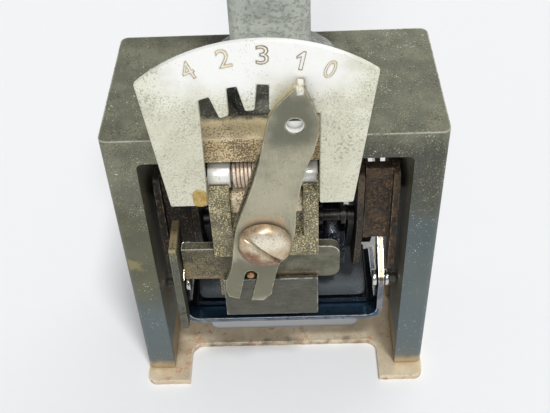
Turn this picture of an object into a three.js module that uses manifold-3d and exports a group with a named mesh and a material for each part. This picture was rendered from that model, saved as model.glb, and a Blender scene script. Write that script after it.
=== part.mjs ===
// Hand numbering machine: a cast stand with a base plate, a spring plunger with six type wheels,
// a dial with a selector lever on its front, and an ink pad that swings out behind the wheels.
// Lengths are millimetres. X runs to the right and Z upwards. Inside the machine, Y starts at the
// front face of the legs and runs backwards, and Z starts at the upper face of the base plate.

import * as THREE from 'three';
import { mergeVertices } from 'three/addons/utils/BufferGeometryUtils.js';
import Module from 'manifold-3d';

const wasm = await Module();
wasm.setup();

// General clearances
const fit = 0.3;
const overrun = 2;

// Cast stand
const frameWidth = 62;
const frameDepth = 33.7;
const frameHeight = 66.7;
const legThickness = 6;
const crownHeight = 5.4;
const frameEdgeRadius = 1.6;
const openingCornerRadius = 1.2;
const guideGrooveWidth = 5.8;
const guideGrooveDepth = 1.6;

// Base plate and its screws
const baseThickness = 1.5;
const footReach = 3.5;
const footWidth = 9.6;
const footCornerRadius = 2;
const footFilletRadius = 2.6;
const baseBarSetback = 6.8;
const baseBarDepth = 4.2;
const windowSideGap = 0.6;
const windowCornerRadius = 1.5;
const baseScrewRadius = 1.2;
const baseScrewHeadRadius = 2.3;
const baseScrewLength = 7.5;
const baseScrewInset = 6;

// Type wheels and their shaft
const wheelCount = 6;
const digitsPerWheel = 10;
const typeRadius = 10.5;
const typeRelief = 0.8;
const typeMargin = 0.425;
const typeFaceHeight = 3.4;
const wheelHeadroom = 2.4;
const ratchetWidth = 1.2;
const ratchetDrop = 2.3;
const ratchetToothDepth = 1.4;
const shaftRadius = 2.5;
const shaftOverhang = 0.5;
const shaftNutWidth = 2.6;
const shaftNutRadius = 4;

// Plunger rod, crosshead and side slides
const rodRadius = 3;
const crossheadDepth = 16.7;
const crossheadHeight = 8.7;
const rodNutRadius = 5;
const rodNutHeight = 3;
const cheekThickness = 1.3;
const cheekLead = 3.5;
const cheekEndRadius = 8.6;
const cheekNeckHeight = 6;
const bentEdgeRadius = 1.5;
const slideWebSetback = 2;
const slideWebThickness = 2.2;
const slideWebDrop = 10;
const slideWidth = 6.5;
const slideSideGap = 1.3;
const slidePlateThickness = 1.2;
const slideFlangeThickness = 1.3;
const slideFlangeDrop = 17.4;
const runnerDrop = 3;
const runnerHeight = 7;
const slideScrewRadius = 1;
const slideScrewHeadRadius = 2;
const slideScrewHeadHeight = 1;
const slideScrewReach = 3;

// Spring barrel on the stand, its bush and its screws
const barrelWidth = 13.8;
const barrelDepth = 20;
const barrelHeight = 34;
const barrelEdgeRadius = 2.2;
const barrelLip = 2.2;
const barrelFlangeRadius = 12.6;
const barrelFlangeInset = 0.55;
const barrelFlangeHeight = 2.2;
const barrelCollarHeight = 1.6;
const barrelScrewRadius = 1.1;
const barrelScrewHeadRadius = 1.9;
const barrelScrewHeadHeight = 1.2;
const barrelScrewLength = 5;
const barrelScrewPlace = 9.9;
const bushRadius = 5;
const bushFlangeRadius = 6.6;
const bushFlangeHeight = 1;

// Return spring and the stop collar that it lifts
const returnSpringRadius = 4.15;
const returnSpringWire = 1;
const returnSpringTurns = 8;
const stopCollarHeight = 2;

// Handle
const handleRadius = 17.5;
const handleHeight = 29;
const handleNeckRadius = 9.5;
const handleBodyShares = [[0, 0], [0.06, 0.12], [0.4, 0.28], [0.8, 0.45], [0.97, 0.6], [1, 0.74]];
const handleCrownShares = [[0.945, 0.86], [0.835, 0.94], [0.62, 0.985], [0.35, 1], [0, 1]];
const ferruleHeight = 5.5;
const ferruleRadius = 8.6;
const rodGripLength = 18;

// Front bracket, slide bar and lower plate
const bracketFront = -3.1;
const bracketInset = 2.9;
const bracketRight = 7.7;
const bracketRise = 8.2;
const bracketDrop = 8.5;
const bracketDepth = 6.1;
const bracketSkin = 1;
const leftFlangeWidth = 3.9;
const rightFlangeWidth = 2.8;
const recessDepth = 1.4;
const recessSill = 5.4;
const backWallThickness = 1.9;
const backWallReach = 15.4;
const armThickness = 2.4;
const armHeight = 6;
const barHeight = 8.5;
const barThickness = 2;
const barDrop = 7.6;
const barSideGap = 6;
const barRight = 11.9;
const barPinRadius = 0.9;
const barPinRise = 6.3;
const barPinReach = 7;
const lowerPlateLeft = -11.3;
const lowerPlateRight = 7.6;
const lowerPlateHeight = 10.9;
const lowerPlateOverlap = 0.8;
const lowerPlateThickness = 1;

// Upright plate at the left end of the slide bar
const uprightThickness = 1.5;
const uprightGap = 1.8;
const uprightDepth = 8.4;
const uprightDrop = 4.2;
const uprightHeight = 23.9;
const uprightFootDepth = 3.4;
const uprightFootHeight = 13.2;

// Round cross bar with its wound spring
const crossBarY = 1.9;
const crossBarRadius = 2.6;
const crossBarRise = 4.1;
const crownGap = 1.9;
const crossBarCoreRadius = 1.5;
const woundWire = 0.8;
const woundRadius = 2.2;
const woundTurns = 9;

// Dial
const dialFront = -5;
const dialThickness = 1.2;
const dialArcX = -1.4;
const dialArcRise = 2.6;
const dialArcRadius = 31.5;
const dialLegDrop = 1.3;
const dialCornerLeft = -21.7;
const dialCornerRight = 17.3;
const dialLegLeftOuter = -18.9;
const dialLegLeftInner = -12.2;
const dialLegRightOuter = 13.9;
const dialWindowLeft = -11.7;
const dialWindowRight = 7.8;
const dialWindowHeight = 19.5;
const dialNotchHeight = 6.5;
const earReach = 4.4;
const earHeight = 4.6;

// The upper edge of the dial's window, from its left corner over the notches to its right corner,
// in shares of the window's width and of the notches' height
const dialNotchShares = [
  [0, 0], [0, 0.57], [0.087, 0.66], [0.159, 0], [0.241, 0.08], [0.241, 0.91], [0.323, 0.95],
  [0.379, 0.2], [0.462, 0.22], [0.492, 1], [0.59, 0.97], [0.579, 0.22], [0.733, 0.19],
  [0.79, 0.94], [0.882, 0.9], [0.903, 0.13], [1, 0.07],
];

// Pivot screw and selector lever
const pivotX = -2.3;
const pivotDrop = 4.3;
const pivotHeadRadius = 4.55;
const pivotHeadHeight = 3;
const pivotHeadEdge = 1.1;
const pivotShankRadius = 2.2;
const pivotSlotWidth = 0.9;
const pivotSlotDepth = 1.2;
const pivotSlotTurn = 45;
const pivotBossRadius = 4;
const leverThickness = 1.2;
const leverTurn = 12;
const leverWidth = 11;
const leverReach = 34.3;
const leverTailReach = 16.8;
const leverForkOffset = -1;
const leverForkStart = 8.3;
const leverEyeRadius = 1.6;
const leverEyeReach = 27.1;
const leverEyeOffset = 0.4;
const tongueWidth = 1.2;
const tongueRise = 0.5;
const leafThickness = 0.6;
const leafHubWidth = 10.8;
const leafNeckWidth = 7.4;
const leafReach = 21;
const leafOffset = -0.7;

// The lever's edge, clockwise from the right of its tip: shares of its width, and of its reach
// above the pivot or of its tail's reach below it
const leverRightHeadShares = [
  [0.055, 1], [0.21, 0.93], [0.373, 0.831], [0.418, 0.733], [0.409, 0.64], [0.359, 0.535],
  [0.355, 0.401], [0.382, 0.25], [0.464, 0.081],
];
const leverTailShares = [
  [0.441, -0.036], [0.373, -0.179], [0.327, -0.405], [0.327, -0.726], [0.341, -0.845],
  [0.227, -0.976], [0.018, -1], [-0.2, -1], [-0.382, -0.982], [-0.464, -0.893], [-0.5, -0.738],
  [-0.455, -0.536], [-0.464, -0.357], [-0.5, -0.089],
];
const leverLeftHeadShares = [
  [-0.509, 0.052], [-0.482, 0.14], [-0.445, 0.235], [-0.391, 0.375], [-0.364, 0.523],
  [-0.373, 0.715], [-0.364, 0.814], [-0.291, 0.89], [-0.1, 0.994],
];

// Feed rocker, its pawls and the wheel detents
const rockerThickness = 1.2;
const rockerGap = 1.1;
const rockerHubRadius = 4.6;
const rockerEndRadius = 2;
const rockerTurn = 125;
const pawlBarRadius = 1.2;
const pawlEyeWall = 0.5;
const detentThickness = 0.7;
const detentWidth = 2.6;
const detentGap = 2.2;
const detentReach = 13.5;
const detentStripHeight = 4;

// Ink pad and the bail that carries it
const bailThickness = 1.2;
const bailSideGap = 3;
const bailCornerRadius = 3.4;
const bailLead = 11.85;
const bailDepth = 20;
const bailPostDepth = 4.4;
const inkPivotSetback = 5.2;
const inkPivotRise = 13.2;
const inkPivotRadius = 1.5;
const inkPivotHeadRadius = 2.5;
const inkPivotHeadHeight = 1;
const inkArmEndRadius = 3.2;
const studSetback = 1.8;
const studRise = 11.7;
const studRadius = 1.1;
const studBossRadius = 1.8;
const studBossHeight = 0.9;
const padSetback = 0.25;
const padDepth = 15.2;
const padThickness = 4.4;
const padSideGap = 2.2;
const padGap = 0.5;
const padEdgeRadius = 1.5;
const trayHeight = 1.2;
const trayLip = 0.5;

// Widths: the slides, cheeks and rocker arms fill the stand's opening from its sides, and the type
// wheels share what is left between them.
const frameHalf = frameWidth / 2;
const openingHalf = frameHalf - legThickness;
const slideOuter = openingHalf - slideSideGap;
const slideInner = slideOuter - slideWidth;
const cheekOuter = slideInner - fit;
const cheekInner = cheekOuter - cheekThickness;
const rockerOuter = cheekInner - fit;
const rockerInner = rockerOuter - rockerThickness;
const wheelsHalf = rockerInner - fit;
const wheelPitch = (2 * wheelsHalf + fit) / wheelCount;
const wheelWidth = wheelPitch - fit;
const typeFaceWidth = wheelWidth - ratchetWidth - 2 * typeMargin;
const windowWidth = 2 * (cheekOuter + windowSideGap);
const bailHalfWidth = openingHalf - bailSideGap;
const padHalfWidth = bailHalfWidth - bailThickness - padSideGap;
const bracketLeft = bracketInset - rockerOuter;
const barLeft = barSideGap - openingHalf;

// Depths: the crosshead and the wheels stand in the middle of the stand's legs.
const middleY = frameDepth / 2;
const crossheadFront = middleY - crossheadDepth / 2;
const crossheadBack = middleY + crossheadDepth / 2;
const cheekFront = crossheadFront - cheekLead;
const slideWebFront = cheekFront + slideWebSetback;
const slideWebBack = slideWebFront + slideWebThickness;
const ribHalf = guideGrooveWidth / 2 - fit;
const uprightFront = cheekFront - uprightGap - uprightDepth;
const inkPivotY = frameDepth - inkPivotSetback;
const bailFront = middleY - bailLead;
const studY = bailFront + studSetback;
const padFront = middleY + padSetback - padDepth / 2;
const flangeY = frameDepth - barrelFlangeInset - barrelFlangeRadius;
const leverFront = dialFront - fit - leafThickness - fit - leverThickness;
const leverBack = leverFront + leverThickness;
const dialBack = dialFront + dialThickness;
const barFront = bracketFront + bracketSkin + fit;
const barBack = barFront + barThickness;
const backWallFront = barBack + fit;
const backWallBack = backWallFront + backWallThickness;
const machineFront = leverFront - fit - pivotHeadHeight;
const machineBack = frameDepth + footReach;

// Heights: the plunger hangs under the stand's crown, and the wheels stay a stroke above the paper.
const crownBottom = frameHeight - crownHeight;
const crossBarZ = crownBottom - crownGap - crossBarRadius;
const crossheadTop = crossBarZ - crossBarRise;
const crossheadBottom = crossheadTop - crossheadHeight;
const wheelZ = crossheadBottom - fit - rodNutHeight - wheelHeadroom - typeRadius;
const stroke = wheelZ - typeRadius + baseThickness;
const ratchetRadius = typeRadius - ratchetDrop;
const rockerReach = typeRadius + rockerGap + pawlBarRadius;
const cheekShoulder = crossheadBottom - cheekNeckHeight;
const slideWebBottom = crossheadBottom - slideWebDrop;
const slideFlangeBottom = crossheadBottom - slideFlangeDrop;
const runnerBottom = crossheadBottom - runnerDrop;
const runnerTop = runnerBottom + runnerHeight;
const padTop = wheelZ - typeRadius - padGap;
const bailFloor = padTop - padThickness - fit - trayHeight / 2 - fit - bailThickness;
const studZ = bailFloor + studRise;
const inkPivotZ = wheelZ + inkPivotRise;
const pivotZ = crossheadTop - pivotDrop;
const bracketTop = pivotZ + bracketRise;
const bracketBottom = pivotZ - bracketDrop;
const backWallBottom = bracketBottom - backWallReach;
const barBottom = bracketBottom - barDrop;
const lowerPlateTop = barBottom + lowerPlateOverlap;
const lowerPlateBottom = lowerPlateTop - lowerPlateHeight;
const uprightTop = pivotZ - uprightDrop;
const uprightBottom = uprightTop - uprightHeight;
const uprightWaist = uprightBottom + uprightFootHeight;
const dialLegBottom = bracketTop - dialLegDrop;
const dialArcZ = dialLegBottom + dialArcRise;
const dialWindowTop = dialLegBottom + dialWindowHeight;
const barrelTop = frameHeight + barrelHeight;
const boreRadius = returnSpringRadius + returnSpringWire / 2 + fit;
const handleBottom = barrelTop + stroke + fit;

const CIRCLE_SIDES = 24;
const SMALL_CIRCLE_SIDES = 12;
const X_AXIS = new THREE.Vector3(1, 0, 0);
const Y_AXIS = new THREE.Vector3(0, 1, 0);
const Z_AXIS = new THREE.Vector3(0, 0, 1);

// A closed geometry becomes a solid that can be joined and cut.
function solid(geometry) {
  const bare = geometry.clone();
  bare.deleteAttribute('normal');
  bare.deleteAttribute('uv');
  const merged = mergeVertices(bare);
  const places = merged.attributes.position.array;
  const index = merged.index.array;
  const triangles = [];
  for (let corner = 0; corner < index.length; corner += 3) {
    const [a, b, c] = [index[corner], index[corner + 1], index[corner + 2]];
    if (a !== b && b !== c && c !== a) triangles.push(a, b, c);
  }
  return new wasm.Manifold(new wasm.Mesh({
    numProp: 3,
    vertProperties: new Float32Array(places),
    triVerts: new Uint32Array(triangles),
  }));
}

// A solid becomes a geometry again.
function shell(body) {
  const mesh = body.getMesh();
  const geometry = new THREE.BufferGeometry();
  geometry.setAttribute('position', new THREE.BufferAttribute(new Float32Array(mesh.vertProperties), 3));
  geometry.setIndex(new THREE.BufferAttribute(new Uint32Array(mesh.triVerts), 1));
  geometry.computeVertexNormals();
  return geometry;
}

function joined(...bodies) {
  return bodies.reduce((whole, body) => whole.add(body));
}

function cut(body, ...tools) {
  return tools.reduce((whole, tool) => whole.subtract(tool), body);
}

function block(x0, x1, y0, y1, z0, z1) {
  const geometry = new THREE.BoxGeometry(x1 - x0, y1 - y0, z1 - z0);
  geometry.translate((x0 + x1) / 2, (y0 + y1) / 2, (z0 + z1) / 2);
  return solid(geometry);
}

// Extrudes a shape drawn in X and Y, upwards from z0 to z1.
function plateUp(shape, z0, z1, curveSegments = SMALL_CIRCLE_SIDES / 2) {
  const geometry = new THREE.ExtrudeGeometry(shape, { depth: z1 - z0, bevelEnabled: false, curveSegments });
  geometry.translate(0, 0, z0);
  return solid(geometry);
}

// Extrudes a shape drawn in X and Z, backwards from y0 to y1.
function plateBack(shape, y0, y1, curveSegments = SMALL_CIRCLE_SIDES / 2) {
  const geometry = new THREE.ExtrudeGeometry(shape, { depth: y1 - y0, bevelEnabled: false, curveSegments });
  geometry.applyMatrix4(new THREE.Matrix4().makeBasis(X_AXIS, Z_AXIS, Y_AXIS.clone().negate()));
  geometry.translate(0, y1, 0);
  return solid(geometry);
}

// Extrudes a shape drawn in Y and Z, to the right from x0 to x1.
function plateAcross(shape, x0, x1, curveSegments = SMALL_CIRCLE_SIDES / 2) {
  const geometry = new THREE.ExtrudeGeometry(shape, { depth: x1 - x0, bevelEnabled: false, curveSegments });
  geometry.applyMatrix4(new THREE.Matrix4().makeBasis(Y_AXIS, Z_AXIS, X_AXIS));
  geometry.translate(x0, 0, 0);
  return solid(geometry);
}

function outline(points) {
  return new THREE.Shape(points.map(([across, up]) => new THREE.Vector2(across, up)));
}

function polygon(across, up, radius, sides, turn = 0) {
  const corners = [];
  for (let side = 0; side < sides; side += 1) {
    const angle = turn + (2 * Math.PI * side) / sides;
    corners.push([across + radius * Math.cos(angle), up + radius * Math.sin(angle)]);
  }
  return outline(corners);
}

function roundedRectangle(x0, x1, y0, y1, radius) {
  const shape = new THREE.Shape();
  shape.moveTo(x0 + radius, y0);
  shape.lineTo(x1 - radius, y0);
  shape.absarc(x1 - radius, y0 + radius, radius, -Math.PI / 2, 0, false);
  shape.absarc(x1 - radius, y1 - radius, radius, 0, Math.PI / 2, false);
  shape.absarc(x0 + radius, y1 - radius, radius, Math.PI / 2, Math.PI, false);
  shape.absarc(x0 + radius, y0 + radius, radius, Math.PI, 1.5 * Math.PI, false);
  return shape;
}

// The outline of a belt stretched round two circles, as a link or an arm has.
function linkShape(a0, b0, r0, a1, b1, r1) {
  const span = Math.hypot(a1 - a0, b1 - b0);
  const heading = Math.atan2(b1 - b0, a1 - a0);
  const lean = Math.acos((r0 - r1) / span);
  const shape = new THREE.Shape();
  shape.absarc(a0, b0, r0, heading + lean, heading - lean + 2 * Math.PI, false);
  shape.absarc(a1, b1, r1, heading - lean, heading + lean, false);
  return shape;
}

function postUp(x, y, radius, z0, z1, sides = SMALL_CIRCLE_SIDES) {
  return plateUp(polygon(x, y, radius, sides), z0, z1);
}

function pinBack(x, z, radius, y0, y1, sides = SMALL_CIRCLE_SIDES) {
  return plateBack(polygon(x, z, radius, sides), y0, y1);
}

function pinAcross(y, z, radius, x0, x1, sides = SMALL_CIRCLE_SIDES) {
  return plateAcross(polygon(y, z, radius, sides), x0, x1);
}

// Turns a profile of radius and height about the upright line through x and y.
function turnedUp(x, y, profile, sides = CIRCLE_SIDES) {
  const points = profile.map(([radius, height]) => new THREE.Vector2(radius, height));
  const geometry = new THREE.LatheGeometry(points, sides);
  geometry.applyMatrix4(new THREE.Matrix4().makeBasis(X_AXIS, Z_AXIS, Y_AXIS.clone().negate()));
  geometry.translate(x, y, 0);
  return solid(geometry);
}

// Turns a profile of radius and depth about the front-to-back line through x and z.
function turnedBack(x, z, profile, sides = CIRCLE_SIDES) {
  const points = profile.map(([radius, depth]) => new THREE.Vector2(radius, depth));
  const geometry = new THREE.LatheGeometry(points, sides);
  geometry.translate(x, 0, z);
  return solid(geometry);
}

// Turns a profile of radius and place about the left-to-right line through y and z.
function turnedAcross(y, z, profile, sides = SMALL_CIRCLE_SIDES) {
  const points = profile.map(([radius, place]) => new THREE.Vector2(radius, place));
  const geometry = new THREE.LatheGeometry(points, sides);
  geometry.applyMatrix4(new THREE.Matrix4().makeBasis(Y_AXIS, X_AXIS, Z_AXIS.clone().negate()));
  geometry.translate(0, y, z);
  return solid(geometry);
}

function mirroredAcross(body) {
  return body.mirror([1, 0, 0]);
}

function finish(color, roughness, metalness) {
  return new THREE.MeshStandardMaterial({ color, roughness, metalness });
}

const castOlive = () => finish(0x77745f, 0.55, 0.75);
const paleSteel = () => finish(0xdddccb, 0.4, 0.85);
const leverSteel = () => finish(0x8a8a76, 0.45, 0.85);
const grimySteel = () => finish(0x7d7355, 0.65, 0.6);
const rustySteel = () => finish(0x6a5546, 0.75, 0.45);
const brownedScrew = () => finish(0xa5826a, 0.5, 0.7);
const brightSteel = () => finish(0xd6d4cc, 0.2, 1);
const baseTin = () => finish(0xafa082, 0.6, 0.5);
const barrelCasting = () => finish(0x969b96, 0.7, 0.5);
const inkyMetal = () => finish(0x1b1f28, 0.3, 0.6);
const feltBlack = () => finish(0x14130f, 0.95, 0);
const oldBrass = () => finish(0xc2973f, 0.45, 0.85);
const handleLacquer = () => finish(0x1d1611, 0.35, 0);

const machine = new THREE.Group();

function addPiece(name, body, material, group = machine) {
  const piece = new THREE.Mesh(shell(body), material);
  piece.name = name;
  group.add(piece);
}

// Cast stand: two legs and a crown, grooved inside for the plunger's slides.
function makeFrame() {
  const outer = plateUp(roundedRectangle(-frameHalf, frameHalf, 0, frameDepth, frameEdgeRadius), 0, frameHeight);
  const opening = plateBack(
    roundedRectangle(-openingHalf, openingHalf, -overrun - openingCornerRadius, crownBottom,
      openingCornerRadius),
    -overrun, frameDepth + overrun, SMALL_CIRCLE_SIDES / 4);
  const grooveReach = openingHalf + guideGrooveDepth;
  const grooveFront = middleY - guideGrooveWidth / 2;
  const grooves = block(-grooveReach, grooveReach, grooveFront, grooveFront + guideGrooveWidth,
    -overrun, crownBottom);
  const bushHole = postUp(0, middleY, bushRadius + fit, crownBottom - overrun, frameHeight + overrun,
    CIRCLE_SIDES);
  const pivotHole = pinAcross(inkPivotY, inkPivotZ, inkPivotRadius + fit, -frameHalf - overrun,
    frameHalf + overrun);
  const screwHoles = baseScrewPlaces().map(([x, y]) => postUp(x, y, baseScrewRadius + fit, -overrun,
    baseScrewLength - baseThickness + fit));
  const barrelHoles = [-1, 1].map((side) => postUp(side * barrelScrewPlace, flangeY,
    barrelScrewRadius + fit, frameHeight + barrelFlangeHeight - barrelScrewLength - fit,
    frameHeight + overrun));
  addPiece('frame', cut(outer, opening, grooves, bushHole, pivotHole, ...screwHoles, ...barrelHoles),
    castOlive());
}

function baseScrewPlaces() {
  const x = frameHalf - legThickness / 2;
  return [[-x, baseScrewInset], [x, baseScrewInset], [-x, frameDepth - baseScrewInset],
    [x, frameDepth - baseScrewInset]];
}

// Base plate: four feet, a bar in front and behind, and the window that the type wheels print through.
function makeBasePlate() {
  const back = frameDepth + footReach;
  const footInner = frameHalf - footWidth;
  const plate = plateUp(roundedRectangle(-frameHalf, frameHalf, -footReach, back, footCornerRadius),
    -baseThickness, 0, SMALL_CIRCLE_SIDES / 4);
  const notchBack = -footReach - overrun - footFilletRadius;
  const frontNotch = plateUp(roundedRectangle(-footInner, footInner, notchBack, baseBarSetback,
    footFilletRadius), -baseThickness - overrun, overrun, SMALL_CIRCLE_SIDES / 4);
  const backNotch = plateUp(roundedRectangle(-footInner, footInner, frameDepth - baseBarSetback,
    frameDepth - notchBack, footFilletRadius), -baseThickness - overrun, overrun, SMALL_CIRCLE_SIDES / 4);
  const windowFront = baseBarSetback + baseBarDepth;
  const window = plateUp(roundedRectangle(-windowWidth / 2, windowWidth / 2, windowFront,
    frameDepth - windowFront, windowCornerRadius), -baseThickness - overrun, overrun,
  SMALL_CIRCLE_SIDES / 4);
  const screwSeats = baseScrewPlaces().map(([x, y]) => turnedUp(x, y, [
    [0, -baseThickness - overrun],
    [baseScrewHeadRadius + fit, -baseThickness - overrun],
    [baseScrewHeadRadius + fit, -baseThickness],
    [baseScrewRadius + fit, baseScrewHeadRadius - baseScrewRadius - baseThickness],
    [baseScrewRadius + fit, overrun],
    [0, overrun],
  ], SMALL_CIRCLE_SIDES));
  addPiece('base_plate', cut(plate, frontNotch, backNotch, window, ...screwSeats), baseTin());
}

function makeBaseScrews() {
  const names = ['front_left', 'front_right', 'back_left', 'back_right'];
  baseScrewPlaces().forEach(([x, y], place) => {
    const screw = turnedUp(x, y, [
      [0, -baseThickness],
      [baseScrewHeadRadius, -baseThickness],
      [baseScrewRadius, baseScrewHeadRadius - baseScrewRadius - baseThickness],
      [baseScrewRadius, baseScrewLength - baseThickness],
      [0, baseScrewLength - baseThickness],
    ], SMALL_CIRCLE_SIDES);
    addPiece(`base_screw_${names[place]}`, screw, brightSteel());
  });
}

// Spring barrel: a rough cast box, bored for the return spring, on a round flange that is set back.
function makeBarrel() {
  const flangeTop = frameHeight + barrelFlangeHeight;
  const halfWidth = barrelWidth / 2;
  const halfDepth = barrelDepth / 2;
  const neck = plateUp(roundedRectangle(-halfWidth, halfWidth, middleY - halfDepth, middleY + halfDepth,
    barrelEdgeRadius), frameHeight, barrelTop, SMALL_CIRCLE_SIDES / 4);
  const flange = turnedUp(0, flangeY, [
    [0, frameHeight],
    [barrelFlangeRadius, frameHeight],
    [barrelFlangeRadius, flangeTop],
    [halfWidth, flangeTop + barrelCollarHeight],
    [0, flangeTop + barrelCollarHeight],
  ]);
  const bore = postUp(0, middleY, boreRadius, frameHeight - overrun, barrelTop - barrelLip, CIRCLE_SIDES);
  const rodHole = postUp(0, middleY, rodRadius + fit, frameHeight, barrelTop + overrun, CIRCLE_SIDES);
  const screwHoles = [-1, 1].map((side) => joined(
    postUp(side * barrelScrewPlace, flangeY, barrelScrewRadius + fit, frameHeight - overrun,
      flangeTop + overrun),
    postUp(side * barrelScrewPlace, flangeY, barrelScrewHeadRadius + fit, flangeTop,
      flangeTop + barrelCollarHeight + overrun)));
  addPiece('spring_barrel', cut(joined(neck, flange), bore, rodHole, ...screwHoles), barrelCasting());
}

function makeBarrelScrews() {
  const seat = frameHeight + barrelFlangeHeight;
  [['left', -1], ['right', 1]].forEach(([name, side]) => {
    const x = side * barrelScrewPlace;
    const shank = postUp(x, flangeY, barrelScrewRadius, seat - barrelScrewLength, seat);
    const head = postUp(x, flangeY, barrelScrewHeadRadius, seat, seat + barrelScrewHeadHeight);
    const slot = block(x - barrelScrewHeadRadius - fit, x + barrelScrewHeadRadius + fit, flangeY - fit,
      flangeY + fit, seat + barrelScrewHeadHeight / 2, seat + barrelScrewHeadHeight + overrun);
    addPiece(`barrel_screw_${name}`, cut(joined(shank, head), slot), brightSteel());
  });
}

function makeRodBush() {
  const ring = turnedUp(0, middleY, [
    [rodRadius + fit, crownBottom - bushFlangeHeight - fit],
    [bushFlangeRadius, crownBottom - bushFlangeHeight - fit],
    [bushFlangeRadius, crownBottom - fit],
    [bushRadius, crownBottom - fit],
    [bushRadius, frameHeight],
    [rodRadius + fit, frameHeight],
    [rodRadius + fit, crownBottom - bushFlangeHeight - fit],
  ]);
  addPiece('rod_bush', ring, oldBrass());
}

// Plunger rod with the collar that stops against the barrel's lip.
function makeRod() {
  const nutBottom = crossheadBottom - fit - rodNutHeight;
  const collarTop = barrelTop - barrelLip - fit;
  const collarRadius = boreRadius - fit;
  const gripTop = handleBottom + rodGripLength;
  addPiece('plunger_rod', turnedUp(0, middleY, [
    [0, nutBottom],
    [rodRadius, nutBottom],
    [rodRadius, collarTop - stopCollarHeight],
    [collarRadius, collarTop - stopCollarHeight],
    [collarRadius, collarTop],
    [rodRadius, collarTop],
    [rodRadius, gripTop],
    [0, gripTop],
  ]), brightSteel());
}

function makeRodNut() {
  const nut = plateUp(polygon(0, middleY, rodNutRadius, 6), crossheadBottom - fit - rodNutHeight,
    crossheadBottom - fit);
  const hole = postUp(0, middleY, rodRadius + fit, crossheadBottom - fit - rodNutHeight - overrun,
    crossheadBottom + overrun, CIRCLE_SIDES);
  addPiece('rod_nut', cut(nut, hole), grimySteel());
}

function makeFerrule() {
  const bore = rodRadius + fit;
  const waist = (ferruleRadius + bore) / 2;
  addPiece('handle_ferrule', turnedUp(0, middleY, [
    [bore, handleBottom],
    [waist, handleBottom],
    [ferruleRadius, handleBottom + ferruleHeight / 3],
    [ferruleRadius, handleBottom + ferruleHeight],
    [bore, handleBottom + ferruleHeight],
    [bore, handleBottom],
  ]), brightSteel());
}

// Turned handle: it swells from the neck to the belly and closes in a flat crown.
function makeHandle() {
  const bottom = handleBottom + ferruleHeight + fit;
  const boreTop = handleBottom + rodGripLength + fit;
  const body = handleBodyShares.map(([swell, rise]) => [
    handleNeckRadius + (handleRadius - handleNeckRadius) * swell, bottom + handleHeight * rise]);
  const crown = handleCrownShares.map(([width, rise]) => [
    handleRadius * width, bottom + handleHeight * rise]);
  addPiece('handle', turnedUp(0, middleY, [
    [0, boreTop], [rodRadius + fit, boreTop], [rodRadius + fit, bottom], ...body, ...crown,
  ]), handleLacquer());
}

// Crosshead between the cheeks: the rod is screwed down into it.
function makeCrosshead() {
  const body = block(-rockerOuter, rockerOuter, crossheadFront, crossheadBack, crossheadBottom,
    crossheadTop);
  const bore = postUp(0, middleY, rodRadius + fit, crossheadBottom - overrun, crossheadTop + overrun,
    CIRCLE_SIDES);
  const screwHoles = slideScrewPlaces().map(([y, z]) => pinAcross(y, z, slideScrewRadius + fit,
    -rockerOuter - overrun, rockerOuter + overrun));
  addPiece('crosshead', cut(body, bore, ...screwHoles), rustySteel());
}

// The slide screws go in between the web and the rib, in the part of the runner beside the crosshead.
function slideScrewPlaces() {
  return [[(slideWebBack + middleY - ribHalf) / 2, (crossheadBottom + runnerTop) / 2]];
}

// Cheeks: side plates that hang from the crosshead and hold the wheel shaft.
function makeCheeks() {
  const back = crossheadBack + fit;
  const shape = new THREE.Shape();
  const hang = Math.PI / 9;
  const sideY = cheekEndRadius * Math.cos(hang);
  const sideZ = wheelZ - cheekEndRadius * Math.sin(hang);
  shape.moveTo(back, cheekShoulder);
  shape.lineTo(back, crossheadTop);
  shape.lineTo(cheekFront + bentEdgeRadius, crossheadTop);
  shape.absarc(cheekFront + bentEdgeRadius, crossheadTop - bentEdgeRadius, bentEdgeRadius, Math.PI / 2,
    Math.PI, false);
  shape.lineTo(cheekFront, cheekShoulder);
  shape.lineTo(middleY - sideY, sideZ);
  shape.absarc(middleY, wheelZ, cheekEndRadius, Math.PI + hang, 2 * Math.PI - hang, false);
  shape.lineTo(back, cheekShoulder);
  const plate = plateAcross(shape, cheekInner, cheekOuter);
  const shaftHole = pinAcross(middleY, wheelZ, shaftRadius + fit, cheekInner - overrun,
    cheekOuter + overrun, CIRCLE_SIDES);
  const screwHoles = slideScrewPlaces().map(([y, z]) => pinAcross(y, z, slideScrewRadius + fit,
    cheekInner - overrun, cheekOuter + overrun));
  const right = cut(plate, shaftHole, ...screwHoles);
  addPiece('cheek_right', right, grimySteel());
  addPiece('cheek_left', mirroredAcross(right), grimySteel());
}

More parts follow.
